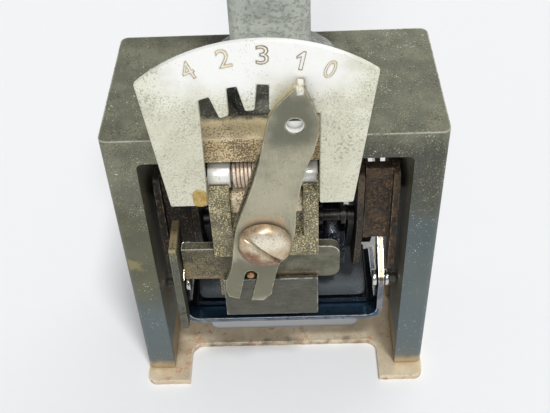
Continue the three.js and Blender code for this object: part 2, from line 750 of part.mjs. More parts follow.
// Side slides: channels outside the cheeks. The inner plate is screwed to the crosshead, the web in
// front joins it to the outer plate, and the outer plate's rib runs in the stand's groove.
function makeSideSlides() {
  const runnerBack = middleY + ribHalf;
  const flangeInner = slideOuter - slideFlangeThickness;
  const inner = block(slideInner, slideInner + slidePlateThickness, slideWebFront, runnerBack,
    runnerBottom, runnerTop);
  const web = block(slideInner, slideOuter, slideWebFront, slideWebBack, slideWebBottom, crossheadTop);
  const outerShape = new THREE.Shape();
  outerShape.moveTo(cheekFront, slideFlangeBottom);
  outerShape.lineTo(slideWebBack, slideFlangeBottom);
  outerShape.lineTo(slideWebBack, runnerBottom);
  outerShape.lineTo(runnerBack, runnerBottom);
  outerShape.lineTo(runnerBack, runnerTop);
  outerShape.lineTo(slideWebBack, runnerTop);
  outerShape.lineTo(slideWebBack, crossheadTop);
  outerShape.lineTo(cheekFront + bentEdgeRadius, crossheadTop);
  outerShape.absarc(cheekFront + bentEdgeRadius, crossheadTop - bentEdgeRadius, bentEdgeRadius,
    Math.PI / 2, Math.PI, false);
  outerShape.lineTo(cheekFront, slideFlangeBottom);
  const outer = plateAcross(outerShape, flangeInner, slideOuter);
  const rib = block(flangeInner, openingHalf + guideGrooveDepth - fit, middleY - ribHalf,
    middleY + ribHalf, runnerBottom, runnerTop);
  const screwHoles = slideScrewPlaces().map(([y, z]) => pinAcross(y, z, slideScrewRadius + fit,
    slideInner - overrun, slideInner + slidePlateThickness + fit));
  const right = cut(joined(inner, web, outer, rib), ...screwHoles);
  addPiece('side_slide_right', right, rustySteel());
  addPiece('side_slide_left', mirroredAcross(right), rustySteel());
}

function makeSlideScrews() {
  const [[y, z]] = slideScrewPlaces();
  const tip = rockerOuter - slideScrewReach;
  const seat = slideInner + slidePlateThickness + fit;
  const top = seat + slideScrewHeadHeight;
  const right = turnedAcross(y, z, [
    [0, tip], [slideScrewRadius, tip], [slideScrewRadius, seat], [slideScrewHeadRadius, seat],
    [slideScrewHeadRadius, top], [0, top],
  ]);
  addPiece('slide_screw_right', right, brightSteel());
  addPiece('slide_screw_left', mirroredAcross(right), brightSteel());
}

// Wheel shaft and the nuts that hold it in the cheeks.
function makeShaft() {
  const end = slideInner + shaftNutWidth + shaftOverhang;
  addPiece('wheel_shaft', pinAcross(middleY, wheelZ, shaftRadius, -end, end, CIRCLE_SIDES), brightSteel());
  const nut = plateAcross(polygon(middleY, wheelZ, shaftNutRadius, 6), slideInner,
    slideInner + shaftNutWidth);
  const hole = pinAcross(middleY, wheelZ, shaftRadius + fit, slideInner - overrun,
    slideInner + shaftNutWidth + overrun, CIRCLE_SIDES);
  const right = cut(nut, hole);
  addPiece('shaft_nut_right', right, grimySteel());
  addPiece('shaft_nut_left', mirroredAcross(right), grimySteel());
}

// One type wheel: a ten-sided drum with raised type, and a ratchet beside it.
function typeWheel(left) {
  const bodyRadius = typeRadius - typeRelief;
  const drumRight = left + wheelWidth - ratchetWidth;
  const step = (2 * Math.PI) / digitsPerWheel;
  const drum = plateAcross(polygon(middleY, wheelZ, bodyRadius / Math.cos(step / 2), digitsPerWheel,
    step / 2 - Math.PI / 2), left, drumRight);
  const ratchetPoints = [];
  for (let tooth = 0; tooth < digitsPerWheel; tooth += 1) {
    const angle = tooth * step;
    ratchetPoints.push([middleY + ratchetRadius * Math.cos(angle), wheelZ + ratchetRadius * Math.sin(angle)]);
    const root = ratchetRadius - ratchetToothDepth;
    ratchetPoints.push([middleY + root * Math.cos(angle), wheelZ + root * Math.sin(angle)]);
  }
  const ratchet = plateAcross(outline(ratchetPoints), drumRight - fit, left + wheelWidth);
  const typeMiddle = (left + drumRight) / 2;
  const types = [];
  for (let digit = 0; digit < digitsPerWheel; digit += 1) {
    const angle = digit * step - Math.PI / 2;
    const face = block(typeMiddle - typeFaceWidth / 2, typeMiddle + typeFaceWidth / 2,
      -typeFaceHeight / 2, typeFaceHeight / 2, bodyRadius - typeRelief, typeRadius);
    types.push(face.rotate([THREE.MathUtils.radToDeg(angle) - 90, 0, 0]).translate([0, middleY, wheelZ]));
  }
  const bore = pinAcross(middleY, wheelZ, shaftRadius + fit, left - overrun, left + wheelWidth + overrun,
    CIRCLE_SIDES);
  return cut(joined(drum, ratchet, ...types), bore);
}

function makeTypeWheels() {
  for (let wheel = 0; wheel < wheelCount; wheel += 1) {
    addPiece(`type_wheel_${wheel + 1}`, typeWheel(-wheelsHalf + wheel * wheelPitch), inkyMetal());
  }
}

// Feed rocker: two arms on the wheel shaft and the bar that carries the pawls.
function makeFeedRocker() {
  const turn = THREE.MathUtils.degToRad(rockerTurn);
  const endY = middleY + rockerReach * Math.cos(turn);
  const endZ = wheelZ + rockerReach * Math.sin(turn);
  const arm = (x0, x1) => plateAcross(linkShape(middleY, wheelZ, rockerHubRadius, endY, endZ,
    rockerEndRadius), x0, x1);
  const bore = pinAcross(middleY, wheelZ, shaftRadius + fit, -rockerOuter - overrun,
    rockerOuter + overrun, CIRCLE_SIDES);
  const bar = pinAcross(endY, endZ, pawlBarRadius, -rockerInner - fit, rockerInner + fit);
  addPiece('feed_rocker', cut(joined(arm(-rockerOuter, -rockerInner), arm(rockerInner, rockerOuter), bar),
    bore), rustySteel());
}

// Feed pawls: one finger beside each wheel, hung on the rocker's bar.
function makeFeedPawls() {
  const turn = THREE.MathUtils.degToRad(rockerTurn);
  const endY = middleY + rockerReach * Math.cos(turn);
  const endZ = wheelZ + rockerReach * Math.sin(turn);
  const eyeRadius = pawlBarRadius + fit + pawlEyeWall;
  const tipReach = ratchetRadius + fit;
  const tipY = middleY + tipReach * Math.cos(turn);
  const tipZ = wheelZ + tipReach * Math.sin(turn);
  for (let wheel = 0; wheel < wheelCount; wheel += 1) {
    const right = -wheelsHalf + wheel * wheelPitch + wheelWidth - fit / 2;
    const left = right - ratchetWidth + fit;
    const eye = pinAcross(endY, endZ, eyeRadius, left, right);
    const tipSlope = [Math.cos(turn), Math.sin(turn)];
    const finger = plateAcross(outline([
      [tipY, tipZ],
      [endY + eyeRadius * tipSlope[1] / 2, endZ - eyeRadius * tipSlope[0] / 2],
      [endY - eyeRadius * tipSlope[1] / 2, endZ + eyeRadius * tipSlope[0] / 2],
    ]), left, right);
    const hole = pinAcross(endY, endZ, pawlBarRadius + fit, left - overrun, right + overrun);
    addPiece(`feed_pawl_${wheel + 1}`, cut(joined(eye, finger), hole), grimySteel());
  }
}

// Detent comb: a spring strip behind the wheels with one finger for each ratchet.
function makeDetentComb() {
  const front = crossheadBack + fit;
  const back = front + detentThickness;
  const top = crossheadTop - fit;
  const strip = block(-wheelsHalf, wheelsHalf, front, back, top - detentStripHeight, top);
  const fingers = [];
  for (let wheel = 0; wheel < wheelCount; wheel += 1) {
    const right = -wheelsHalf + wheel * wheelPitch + wheelWidth;
    const left = right - ratchetWidth;
    const middle = (left + right) / 2;
    fingers.push(block(middle - detentWidth / 2, middle + detentWidth / 2, front, back,
      wheelZ + detentReach / 2, top));
    fingers.push(plateAcross(outline([
      [middleY + ratchetRadius + fit, wheelZ],
      [front, wheelZ + detentReach / 2 - detentGap],
      [back, wheelZ + detentReach / 2 - detentGap],
      [back, wheelZ + detentReach / 2 + detentGap],
      [front, wheelZ + detentReach / 2 + detentGap],
    ]), left + fit / 2, right - fit / 2));
  }
  addPiece('detent_comb', joined(strip, ...fingers), grimySteel());
}

// Front bracket: two flanges with a recess between them, a channel for the slide bar behind its
// lower edge, and arms that reach back to the crosshead.
function makeBracket() {
  const back = bracketFront + bracketDepth;
  const front = block(bracketLeft, bracketRight, bracketFront, back, barBottom + barHeight + fit,
    bracketTop);
  const skin = block(bracketLeft, bracketRight, bracketFront, bracketFront + bracketSkin, bracketBottom,
    bracketTop);
  const wall = block(bracketLeft, bracketRight, backWallFront, backWallBack, backWallBottom, bracketTop);
  const recessLeft = bracketLeft + leftFlangeWidth;
  const recessRight = bracketRight - rightFlangeWidth;
  const recess = block(recessLeft, recessRight, bracketFront - overrun, bracketFront + recessDepth,
    bracketBottom + recessSill, bracketTop + overrun);
  const pocket = block(recessLeft, recessRight, bracketFront - overrun, back + overrun,
    crossBarZ - woundRadius - woundWire, bracketTop + overrun);
  const saddle = pinAcross(crossBarY, crossBarZ, crossBarRadius + fit, bracketLeft - overrun,
    bracketRight + overrun, CIRCLE_SIDES);
  const boss = pinBack(pivotX, pivotZ, pivotBossRadius, leverBack + fit, bracketFront + recessDepth + fit,
    CIRCLE_SIDES);
  const armTop = crossheadTop;
  const arms = [bracketLeft, bracketRight - armThickness].map((x) => block(x, x + armThickness,
    back - fit, crossheadFront - fit, armTop - armHeight, armTop));
  const earTop = dialLegBottom + earHeight;
  const ears = [[bracketLeft - earReach, bracketLeft + fit], [bracketRight - fit, bracketRight + earReach]]
    .map(([x0, x1]) => block(x0, x1, dialBack + fit, bracketFront + bracketSkin, dialLegBottom, earTop));
  const pivotHole = pinBack(pivotX, pivotZ, pivotShankRadius + fit, leverBack - overrun,
    back + overrun, CIRCLE_SIDES);
  const spacer = block(lowerPlateLeft + armThickness, lowerPlateRight - armThickness,
    bracketFront + lowerPlateThickness + fit, backWallFront + fit, backWallBottom, barBottom - fit);
  addPiece('front_bracket', cut(joined(cut(joined(front, skin), recess), wall, spacer, boss, ...arms,
    ...ears), pocket, saddle, pivotHole), grimySteel());
}

function makeLowerPlate() {
  addPiece('lower_plate', block(lowerPlateLeft, lowerPlateRight, bracketFront,
    bracketFront + lowerPlateThickness, lowerPlateBottom, lowerPlateTop), grimySteel());
}

// Slide bar behind the bracket's lower edge, with a rounded right end.
function makeSlideBar() {
  const middle = barBottom + barHeight / 2;
  const corner = barHeight / 4;
  const shape = new THREE.Shape();
  shape.moveTo(barLeft, barBottom);
  shape.lineTo(barRight - corner, barBottom);
  shape.absarc(barRight - corner, barBottom + corner, corner, -Math.PI / 2, 0, false);
  shape.absarc(barRight - corner, barBottom + barHeight - corner, corner, 0, Math.PI / 2, false);
  shape.lineTo(barLeft, barBottom + barHeight);
  shape.lineTo(barLeft, middle);
  const bar = plateBack(shape, barFront, barBack);
  const pin = barPinPlace();
  const hole = pinBack(pin.x, pin.z, barPinRadius + fit, barFront - overrun, barBack + overrun);
  addPiece('slide_bar', cut(bar, hole), grimySteel());
}

// The pin stands on the middle line of the lever's fork, which runs beside the pivot.
function barPinPlace() {
  const z = barBottom + barPinRise;
  const turn = THREE.MathUtils.degToRad(leverTurn);
  return { x: pivotX + (z - pivotZ) * Math.tan(turn) + leverForkOffset / Math.cos(turn), z };
}

function makeBarPin() {
  const pin = barPinPlace();
  addPiece('slide_bar_pin', pinBack(pin.x, pin.z, barPinRadius, barBack - barPinReach - fit, barBack),
    oldBrass());
}

// Upright plate at the slide bar's left end: broad at the top, narrow at the foot.
function makeUpright() {
  const back = uprightFront + uprightDepth;
  const shape = outline([
    [uprightFront, uprightTop],
    [uprightFront, uprightWaist],
    [uprightFront + fit, uprightBottom],
    [uprightFront + uprightFootDepth, uprightBottom],
    [uprightFront + uprightFootDepth, uprightWaist],
    [back, uprightWaist + fit],
    [back, uprightTop],
  ]);
  addPiece('slide_bar_upright', plateAcross(shape, barLeft - fit - uprightThickness, barLeft - fit),
    grimySteel());
}

// Cross bar: two thick ends in the bracket's saddles and a thin middle inside the wound spring.
function makeCrossBar() {
  const shoulderLeft = bracketLeft + leftFlangeWidth + fit;
  const shoulderRight = bracketRight - rightFlangeWidth - fit;
  addPiece('cross_bar', turnedAcross(crossBarY, crossBarZ, [
    [0, bracketLeft], [crossBarRadius, bracketLeft], [crossBarRadius, shoulderLeft],
    [crossBarCoreRadius, shoulderLeft], [crossBarCoreRadius, shoulderRight],
    [crossBarRadius, shoulderRight], [crossBarRadius, bracketRight], [0, bracketRight],
  ], CIRCLE_SIDES), brightSteel());
}

// A tube of round wire along a list of places, with a flat end on both sides.
function wireTube(places, wireRadius, sides) {
  const rings = [];
  let side = null;
  places.forEach((place, step) => {
    const before = places[Math.max(step - 1, 0)];
    const after = places[Math.min(step + 1, places.length - 1)];
    const heading = after.clone().sub(before).normalize();
    if (side === null) {
      const helper = Math.abs(heading.z) < 0.9 ? Z_AXIS : X_AXIS;
      side = helper.clone().cross(heading).normalize();
    } else {
      side = side.sub(heading.clone().multiplyScalar(side.dot(heading))).normalize();
    }
    const other = heading.clone().cross(side);
    const ring = [];
    for (let corner = 0; corner < sides; corner += 1) {
      const angle = (2 * Math.PI * corner) / sides;
      ring.push(place.clone()
        .add(side.clone().multiplyScalar(wireRadius * Math.cos(angle)))
        .add(other.clone().multiplyScalar(wireRadius * Math.sin(angle))));
    }
    rings.push(ring);
  });
  const positions = rings.flat().flatMap((point) => [point.x, point.y, point.z]);
  const first = places[0];
  const last = places[places.length - 1];
  positions.push(first.x, first.y, first.z, last.x, last.y, last.z);
  const firstHub = rings.length * sides;
  const lastHub = firstHub + 1;
  const index = [];
  for (let step = 0; step + 1 < rings.length; step += 1) {
    for (let corner = 0; corner < sides; corner += 1) {
      const next = (corner + 1) % sides;
      const a = step * sides + corner;
      const b = step * sides + next;
      const c = (step + 1) * sides + corner;
      const d = (step + 1) * sides + next;
      index.push(a, b, c, b, d, c);
    }
  }
  for (let corner = 0; corner < sides; corner += 1) {
    const next = (corner + 1) % sides;
    const lastRing = (rings.length - 1) * sides;
    index.push(firstHub, next, corner);
    index.push(lastHub, lastRing + corner, lastRing + next);
  }
  const geometry = new THREE.BufferGeometry();
  geometry.setAttribute('position', new THREE.Float32BufferAttribute(positions, 3));
  geometry.setIndex(index);
  return { geometry, rings };
}

// The least gap between stretches of wire that lie half a turn or more apart.
function leastGap(rings, stepsPerTurn) {
  let least = Infinity;
  rings.forEach((ring, step) => {
    for (let other = step + stepsPerTurn / 2; other < rings.length; other += 1) {
      ring.forEach((point) => rings[other].forEach((far) => {
        least = Math.min(least, point.distanceTo(far));
      }));
    }
  });
  return least;
}

const STEPS_PER_CURL = 8;
const WIRE_SIDES = 5;

// A helix about a line, as places: the line starts at zero and runs along the given axis.
function helixPlaces(radius, wire, turns, length, toPlace) {
  const places = [];
  const steps = turns * STEPS_PER_CURL;
  const rise = (length - wire) / steps;
  const at = (step) => {
    const angle = (2 * Math.PI * step) / STEPS_PER_CURL;
    return toPlace(radius * Math.cos(angle), radius * Math.sin(angle), wire / 2 + rise * step);
  };
  const start = at(0);
  const startHeading = start.clone().sub(at(1)).normalize().multiplyScalar(wire);
  places.push(start.clone().add(startHeading));
  for (let step = 0; step <= steps; step += 1) places.push(at(step));
  const end = at(steps);
  places.push(end.clone().add(end.clone().sub(at(steps - 1)).normalize().multiplyScalar(wire)));
  return places;
}

function makeWoundSpring() {
  const left = bracketLeft + leftFlangeWidth + 2 * fit;
  const length = bracketRight - rightFlangeWidth - 2 * fit - left;
  const places = helixPlaces(woundRadius, woundWire, woundTurns, length,
    (a, b, along) => new THREE.Vector3(left + along, crossBarY + a, crossBarZ + b));
  const { geometry, rings } = wireTube(places, woundWire / 2, WIRE_SIDES);
  console.log('wound_spring least gap to itself', leastGap(rings, STEPS_PER_CURL).toFixed(2), 'mm');
  addPiece('wound_spring', solid(geometry), rustySteel());
}

function makeReturnSpring() {
  const bottom = frameHeight + fit;
  const top = barrelTop - barrelLip - fit - stopCollarHeight - fit;
  const places = helixPlaces(returnSpringRadius, returnSpringWire, returnSpringTurns, top - bottom,
    (a, b, along) => new THREE.Vector3(a, middleY + b, bottom + along));
  const { geometry, rings } = wireTube(places, returnSpringWire / 2, WIRE_SIDES);
  console.log('return_spring least gap to itself', leastGap(rings, STEPS_PER_CURL).toFixed(2), 'mm');
  addPiece('return_spring', solid(geometry), brightSteel());
}

// Dial: an arched plate on two tapering legs, with notches cut up into its rim from the window.
function makeDial() {
  const arcAngle = (x) => Math.acos((x - dialArcX) / dialArcRadius);
  const arcHeight = (x) => dialArcZ + dialArcRadius * Math.sin(arcAngle(x));
  const windowWide = dialWindowRight - dialWindowLeft;
  const shape = new THREE.Shape();
  shape.moveTo(dialLegLeftInner, dialLegBottom);
  shape.lineTo(dialLegLeftOuter, dialLegBottom);
  shape.lineTo(dialCornerLeft, arcHeight(dialCornerLeft));
  shape.absarc(dialArcX, dialArcZ, dialArcRadius, arcAngle(dialCornerLeft), arcAngle(dialCornerRight),
    true);
  shape.lineTo(dialLegRightOuter, dialLegBottom);
  shape.lineTo(dialWindowRight, dialLegBottom);
  [...dialNotchShares].reverse().forEach(([across, up]) => {
    shape.lineTo(dialWindowLeft + windowWide * across, dialWindowTop + dialNotchHeight * up);
  });
  addPiece('dial_plate', plateBack(shape, dialFront, dialBack, CIRCLE_SIDES / 2), paleSteel());
}

// Pivot screw with a slotted, slightly domed head.
function makePivotScrew() {
  const seat = leverFront - fit;
  const face = seat - pivotHeadHeight;
  const screw = turnedBack(pivotX, pivotZ, [
    [0, face],
    [pivotHeadRadius - 2 * pivotHeadEdge, face + pivotHeadEdge / 4],
    [pivotHeadRadius - pivotHeadEdge / 2, face + pivotHeadEdge],
    [pivotHeadRadius, face + 2 * pivotHeadEdge],
    [pivotHeadRadius, seat],
    [pivotShankRadius, seat],
    [pivotShankRadius, bracketFront + bracketDepth],
    [0, bracketFront + bracketDepth],
  ]);
  const reach = pivotHeadRadius + overrun;
  const slot = block(-reach, reach, face - overrun, face + pivotSlotDepth, -pivotSlotWidth / 2,
    pivotSlotWidth / 2).rotate([0, pivotSlotTurn, 0]).translate([pivotX, 0, pivotZ]);
  addPiece('pivot_screw', cut(screw, slot), brownedScrew());
}

// Puts a piece that is drawn upright about the origin on the pivot, turned as the lever is.
function onPivot(body) {
  return body.rotate([0, leverTurn, 0]).translate([pivotX, 0, pivotZ]);
}

// Selector lever: a waisted plate with an eye near its tip and a fork at its tail.
function makeLever() {
  const headPoint = ([across, up]) => [leverWidth * across, leverReach * up];
  const tailPoint = ([across, up]) => [leverWidth * across, leverTailReach * up];
  const edge = [...leverRightHeadShares.map(headPoint), ...leverTailShares.map(tailPoint),
    ...leverLeftHeadShares.map(headPoint)];
  const plate = plateBack(outline(edge), leverFront, leverBack);
  const eye = pinBack(leverEyeOffset, leverEyeReach, leverEyeRadius, leverFront - overrun,
    leverBack + overrun);
  const pivotHole = pinBack(0, 0, pivotShankRadius + fit, leverFront - overrun, leverBack + overrun,
    CIRCLE_SIDES);
  const forkHalf = barPinRadius + fit;
  const forkTop = -leverForkStart - forkHalf;
  const fork = joined(
    block(leverForkOffset - forkHalf, leverForkOffset + forkHalf, leverFront - overrun,
      leverBack + overrun, -leverTailReach - overrun, forkTop),
    pinBack(leverForkOffset, forkTop, forkHalf, leverFront - overrun, leverBack + overrun));
  const tongue = block(-tongueWidth / 2, tongueWidth / 2, leverFront + leverThickness / 2,
    dialFront - fit, leverReach - tongueRise, leverReach + tongueRise);
  addPiece('selector_lever', onPivot(joined(cut(plate, eye, pivotHole, fork), tongue)), leverSteel());
}

// Lever leaf: a thinner plate between the lever and the dial, set a little to the left.
function makeLeverLeaf() {
  const leafBack = dialFront - fit;
  const shape = linkShape(leafOffset, 0, leafHubWidth / 2, leafOffset, leafReach - leafNeckWidth / 2,
    leafNeckWidth / 2);
  const bossHole = pinBack(0, 0, pivotBossRadius + fit, leafBack - leafThickness - overrun,
    leafBack + overrun, CIRCLE_SIDES);
  const leaf = cut(plateBack(shape, leafBack - leafThickness, leafBack), bossHole);
  addPiece('lever_leaf', onPivot(leaf), grimySteel());
}

// Ink bail: a bent strip with a floor under the pad and an arm up each side to its pivot.
function makeInkBail() {
  const tall = inkPivotZ + inkArmEndRadius;
  const outer = plateBack(roundedRectangle(-bailHalfWidth, bailHalfWidth, bailFloor, tall + overrun,
    bailCornerRadius), bailFront - overrun, inkPivotY + inkArmEndRadius + overrun,
  SMALL_CIRCLE_SIDES / 4);
  const inner = plateBack(roundedRectangle(-bailHalfWidth + bailThickness, bailHalfWidth - bailThickness,
    bailFloor + bailThickness, 2 * tall, bailCornerRadius - bailThickness), bailFront - 2 * overrun,
  inkPivotY + inkArmEndRadius + 2 * overrun, SMALL_CIRCLE_SIDES / 4);
  const side = joined(
    block(-bailHalfWidth, bailHalfWidth, bailFront, bailFront + bailDepth, bailFloor,
      bailFloor + 2 * bailThickness),
    block(-bailHalfWidth, bailHalfWidth, bailFront, bailFront + bailPostDepth, bailFloor, studZ),
    plateAcross(linkShape(studY + fit, studZ, bailPostDepth / 2 + fit, inkPivotY, inkPivotZ,
      inkArmEndRadius), -bailHalfWidth, bailHalfWidth));
  const pivotHole = pinAcross(inkPivotY, inkPivotZ, inkPivotRadius + fit, -bailHalfWidth - overrun,
    bailHalfWidth + overrun);
  const studHole = pinAcross(studY, studZ, studRadius + fit, -bailHalfWidth - overrun,
    bailHalfWidth + overrun);
  addPiece('ink_bail', cut(outer.intersect(side), inner, pivotHole, studHole), brightSteel());
}

function makeInkPivots() {
  const inner = bailHalfWidth - bailThickness - fit;
  const right = turnedAcross(inkPivotY, inkPivotZ, [
    [0, inner - inkPivotHeadHeight], [inkPivotHeadRadius, inner - inkPivotHeadHeight],
    [inkPivotHeadRadius, inner], [inkPivotRadius, inner], [inkPivotRadius, frameHalf], [0, frameHalf],
  ]);
  addPiece('ink_pivot_right', right, brightSteel());
  addPiece('ink_pivot_left', mirroredAcross(right), brightSteel());
}

function makeInkStuds() {
  const inner = bailHalfWidth - bailThickness - fit;
  const outer = bailHalfWidth + fit;
  const right = turnedAcross(studY, studZ, [
    [0, inner - studBossHeight], [studBossRadius, inner - studBossHeight],
    [studBossRadius, inner], [studRadius, inner], [studRadius, outer],
    [studBossRadius, outer], [studBossRadius, outer + studBossHeight],
    [studRadius, outer + studBossHeight], [studRadius, openingHalf - fit], [0, openingHalf - fit],
  ]);
  addPiece('ink_stud_right', right, brightSteel());
  addPiece('ink_stud_left', mirroredAcross(right), brightSteel());
}

// Pad tray with a low lip, and the felt pad that fills it.
function makeInkPad() {
  const trayBottom = bailFloor + bailThickness + fit;
  const padBottom = trayBottom + trayHeight / 2 + fit;
  const wall = fit + trayLip;
  const tray = cut(
    block(-padHalfWidth - wall, padHalfWidth + wall, padFront - wall, padFront + padDepth + wall,
      trayBottom, trayBottom + trayHeight),
    block(-padHalfWidth - fit, padHalfWidth + fit, padFront - fit, padFront + padDepth + fit,
      padBottom - fit, trayBottom + trayHeight + overrun));
  addPiece('pad_tray', tray, inkyMetal());
  const shape = new THREE.Shape();
  const padBack = padFront + padDepth;
  shape.moveTo(padFront, padBottom);
  shape.lineTo(padBack, padBottom);
  shape.lineTo(padBack, padTop - padEdgeRadius);
  shape.absarc(padBack - padEdgeRadius, padTop - padEdgeRadius, padEdgeRadius, 0, Math.PI / 2, false);
  shape.lineTo(padFront + padEdgeRadius, padTop);
  shape.absarc(padFront + padEdgeRadius, padTop - padEdgeRadius, padEdgeRadius, Math.PI / 2, Math.PI,
    false);
  addPiece('ink_pad', plateAcross(shape, -padHalfWidth, padHalfWidth, SMALL_CIRCLE_SIDES / 4),
    feltBlack());
}

makeFrame();
makeBasePlate();
makeBaseScrews();
makeBarrel();
makeBarrelScrews();
makeRodBush();
makeRod();
makeRodNut();
makeFerrule();
makeHandle();
makeReturnSpring();
makeCrosshead();
makeCheeks();
makeSideSlides();
makeSlideScrews();
makeShaft();
makeTypeWheels();
makeFeedRocker();
makeFeedPawls();
makeDetentComb();
makeBracket();
makeLowerPlate();
makeSlideBar();
makeBarPin();
makeUpright();
makeCrossBar();
makeWoundSpring();
makeDial();
makePivotScrew();
makeLever();
makeLeverLeaf();
makeInkBail();
makeInkPivots();
makeInkStuds();
makeInkPad();

// The origin is in the middle under the machine, halfway between the screw head and the rear feet.
machine.position.set(0, -(machineFront + machineBack) / 2, baseThickness);

export default machine;
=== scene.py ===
"""Looks of a hand numbering machine, built round its packed assembly.

Places and sizes are millimetres in the machine's own frame: X runs to the right, Y runs backwards
from the front face of the stand's legs, and Z runs upwards from the top of the base plate. The
function spot and the factor MM turn them into metres. Colours are red, green and blue as a screen
shows them, 0 to 255.
"""

import dataclasses
import functools
import logging
import math
from collections.abc import Iterable, Mapping, Sequence
from dataclasses import dataclass
from enum import Enum, StrEnum, auto

import bmesh
import bpy
from mathutils import Matrix, Vector


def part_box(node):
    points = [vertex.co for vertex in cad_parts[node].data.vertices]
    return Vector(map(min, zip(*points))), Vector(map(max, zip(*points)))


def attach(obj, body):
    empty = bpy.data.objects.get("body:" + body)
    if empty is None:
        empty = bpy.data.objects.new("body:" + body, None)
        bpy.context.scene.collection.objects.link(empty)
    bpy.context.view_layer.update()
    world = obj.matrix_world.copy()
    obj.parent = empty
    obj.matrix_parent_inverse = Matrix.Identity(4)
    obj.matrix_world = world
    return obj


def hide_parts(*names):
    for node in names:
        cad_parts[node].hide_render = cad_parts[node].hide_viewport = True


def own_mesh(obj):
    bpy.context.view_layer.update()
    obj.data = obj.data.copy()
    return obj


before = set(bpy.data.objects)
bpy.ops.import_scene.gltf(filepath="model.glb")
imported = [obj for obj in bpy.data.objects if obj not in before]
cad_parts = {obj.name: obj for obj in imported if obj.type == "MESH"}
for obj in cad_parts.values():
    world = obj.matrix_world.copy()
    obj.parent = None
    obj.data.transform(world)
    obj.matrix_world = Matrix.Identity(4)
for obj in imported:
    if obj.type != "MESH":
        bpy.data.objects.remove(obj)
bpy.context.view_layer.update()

log = logging.getLogger("numbering_machine")

MM = 0.001
STAND_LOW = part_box("frame")[0]
SIDES = ("left", "right")
PLUNGER_MIDDLE = 16.85
SMALL_EDGE = 0.15
COIL_STEPS = 24
SPECKS_SHIFT = 0.2
SPECKS_STEP = 0.17
MERGE = 0.002

# Where a pattern's value starts to show, and where it shows in full.
CLOUDS_SHOW = (0.36, 0.64)
STREAKS_SHOW = (0.4, 0.68)
GRIME_AND_SHADE_SHOWS = (0.12, 0.75)
EDGES_SHOW = (0.985, 0.86)
FACING_SHOWS = (0.15, 0.45)
FIBRES_SHOW = (0.78, 0.95)
SCUFFS_SHOW = (0.4, 0.62)

# The corners of an outlined 1 as shares of its height, and how thick outlines are drawn.
ONE_OUTLINE = ((0.3, 0), (0.3, 0.72), (0.02, 0.58), (0, 0.68), (0.36, 1), (0.52, 1), (0.52, 0))
ONE_LINE_SHARE = 0.55
LINE_SHARE = 0.36

Colour = tuple[int, int, int]
Place = tuple[float, float, float]
Point = tuple[float, float]
BMesh = bmesh.types.BMesh
Socket = bpy.types.NodeSocket
Value = float | Socket


def spot(x: float, y: float, z: float) -> Vector:
    """Turns a place on the machine, in millimetres, into the frame's metres."""
    return Vector((x * MM, STAND_LOW.y + y * MM, STAND_LOW.z + z * MM))


def screen(colour: Colour) -> tuple[float, ...]:
    """Turns a colour as a screen shows it into the linear colour that a shader takes."""
    parts = [channel / 255 for channel in colour]
    return (*(part / 12.92 if part <= 0.04045 else ((part + 0.055) / 1.055) ** 2.4 for part in parts), 1.0)


class Axis(Enum):
    """The machine's three directions."""

    X = Vector((1, 0, 0))
    Y = Vector((0, 1, 0))
    Z = Vector((0, 0, 1))

    def across(self) -> Vector:
        """Gives a direction square to this one, in which radii are drawn."""
        return Vector((1, 0, 0)) if self is Axis.Z else Vector((0, 0, 1))


class Body(StrEnum):
    """The bodies that pieces ride on, beside the number wheels."""

    STAND = auto()
    PLUNGER = auto()
    FEED = auto()
    SELECTOR = auto()
    SLIDER = auto()
    INKER = auto()


class Slot(StrEnum):
    """The record's material slots."""

    STAND_CASTING = auto()
    BASE_TIN = auto()
    BARREL_CASTING = auto()
    BRIGHT_STEEL = auto()
    GRIMY_STEEL = auto()
    RUSTY_STEEL = auto()
    LEVER_STEEL = auto()
    SCREW_STEEL = auto()
    DIAL_STEEL = auto()
    INKY_METAL = auto()
    PAD_FELT = auto()
    BRASS = auto()
    HANDLE_LACQUER = auto()


@dataclass(frozen=True)
class Zone:
    """A box on the machine where a finish changes, by its corners and how its border fades."""

    low: Place
    high: Place
    colour: Colour | None
    soft: float = 3.0
    strength: float = 0.9
    ragged: float = 0.7


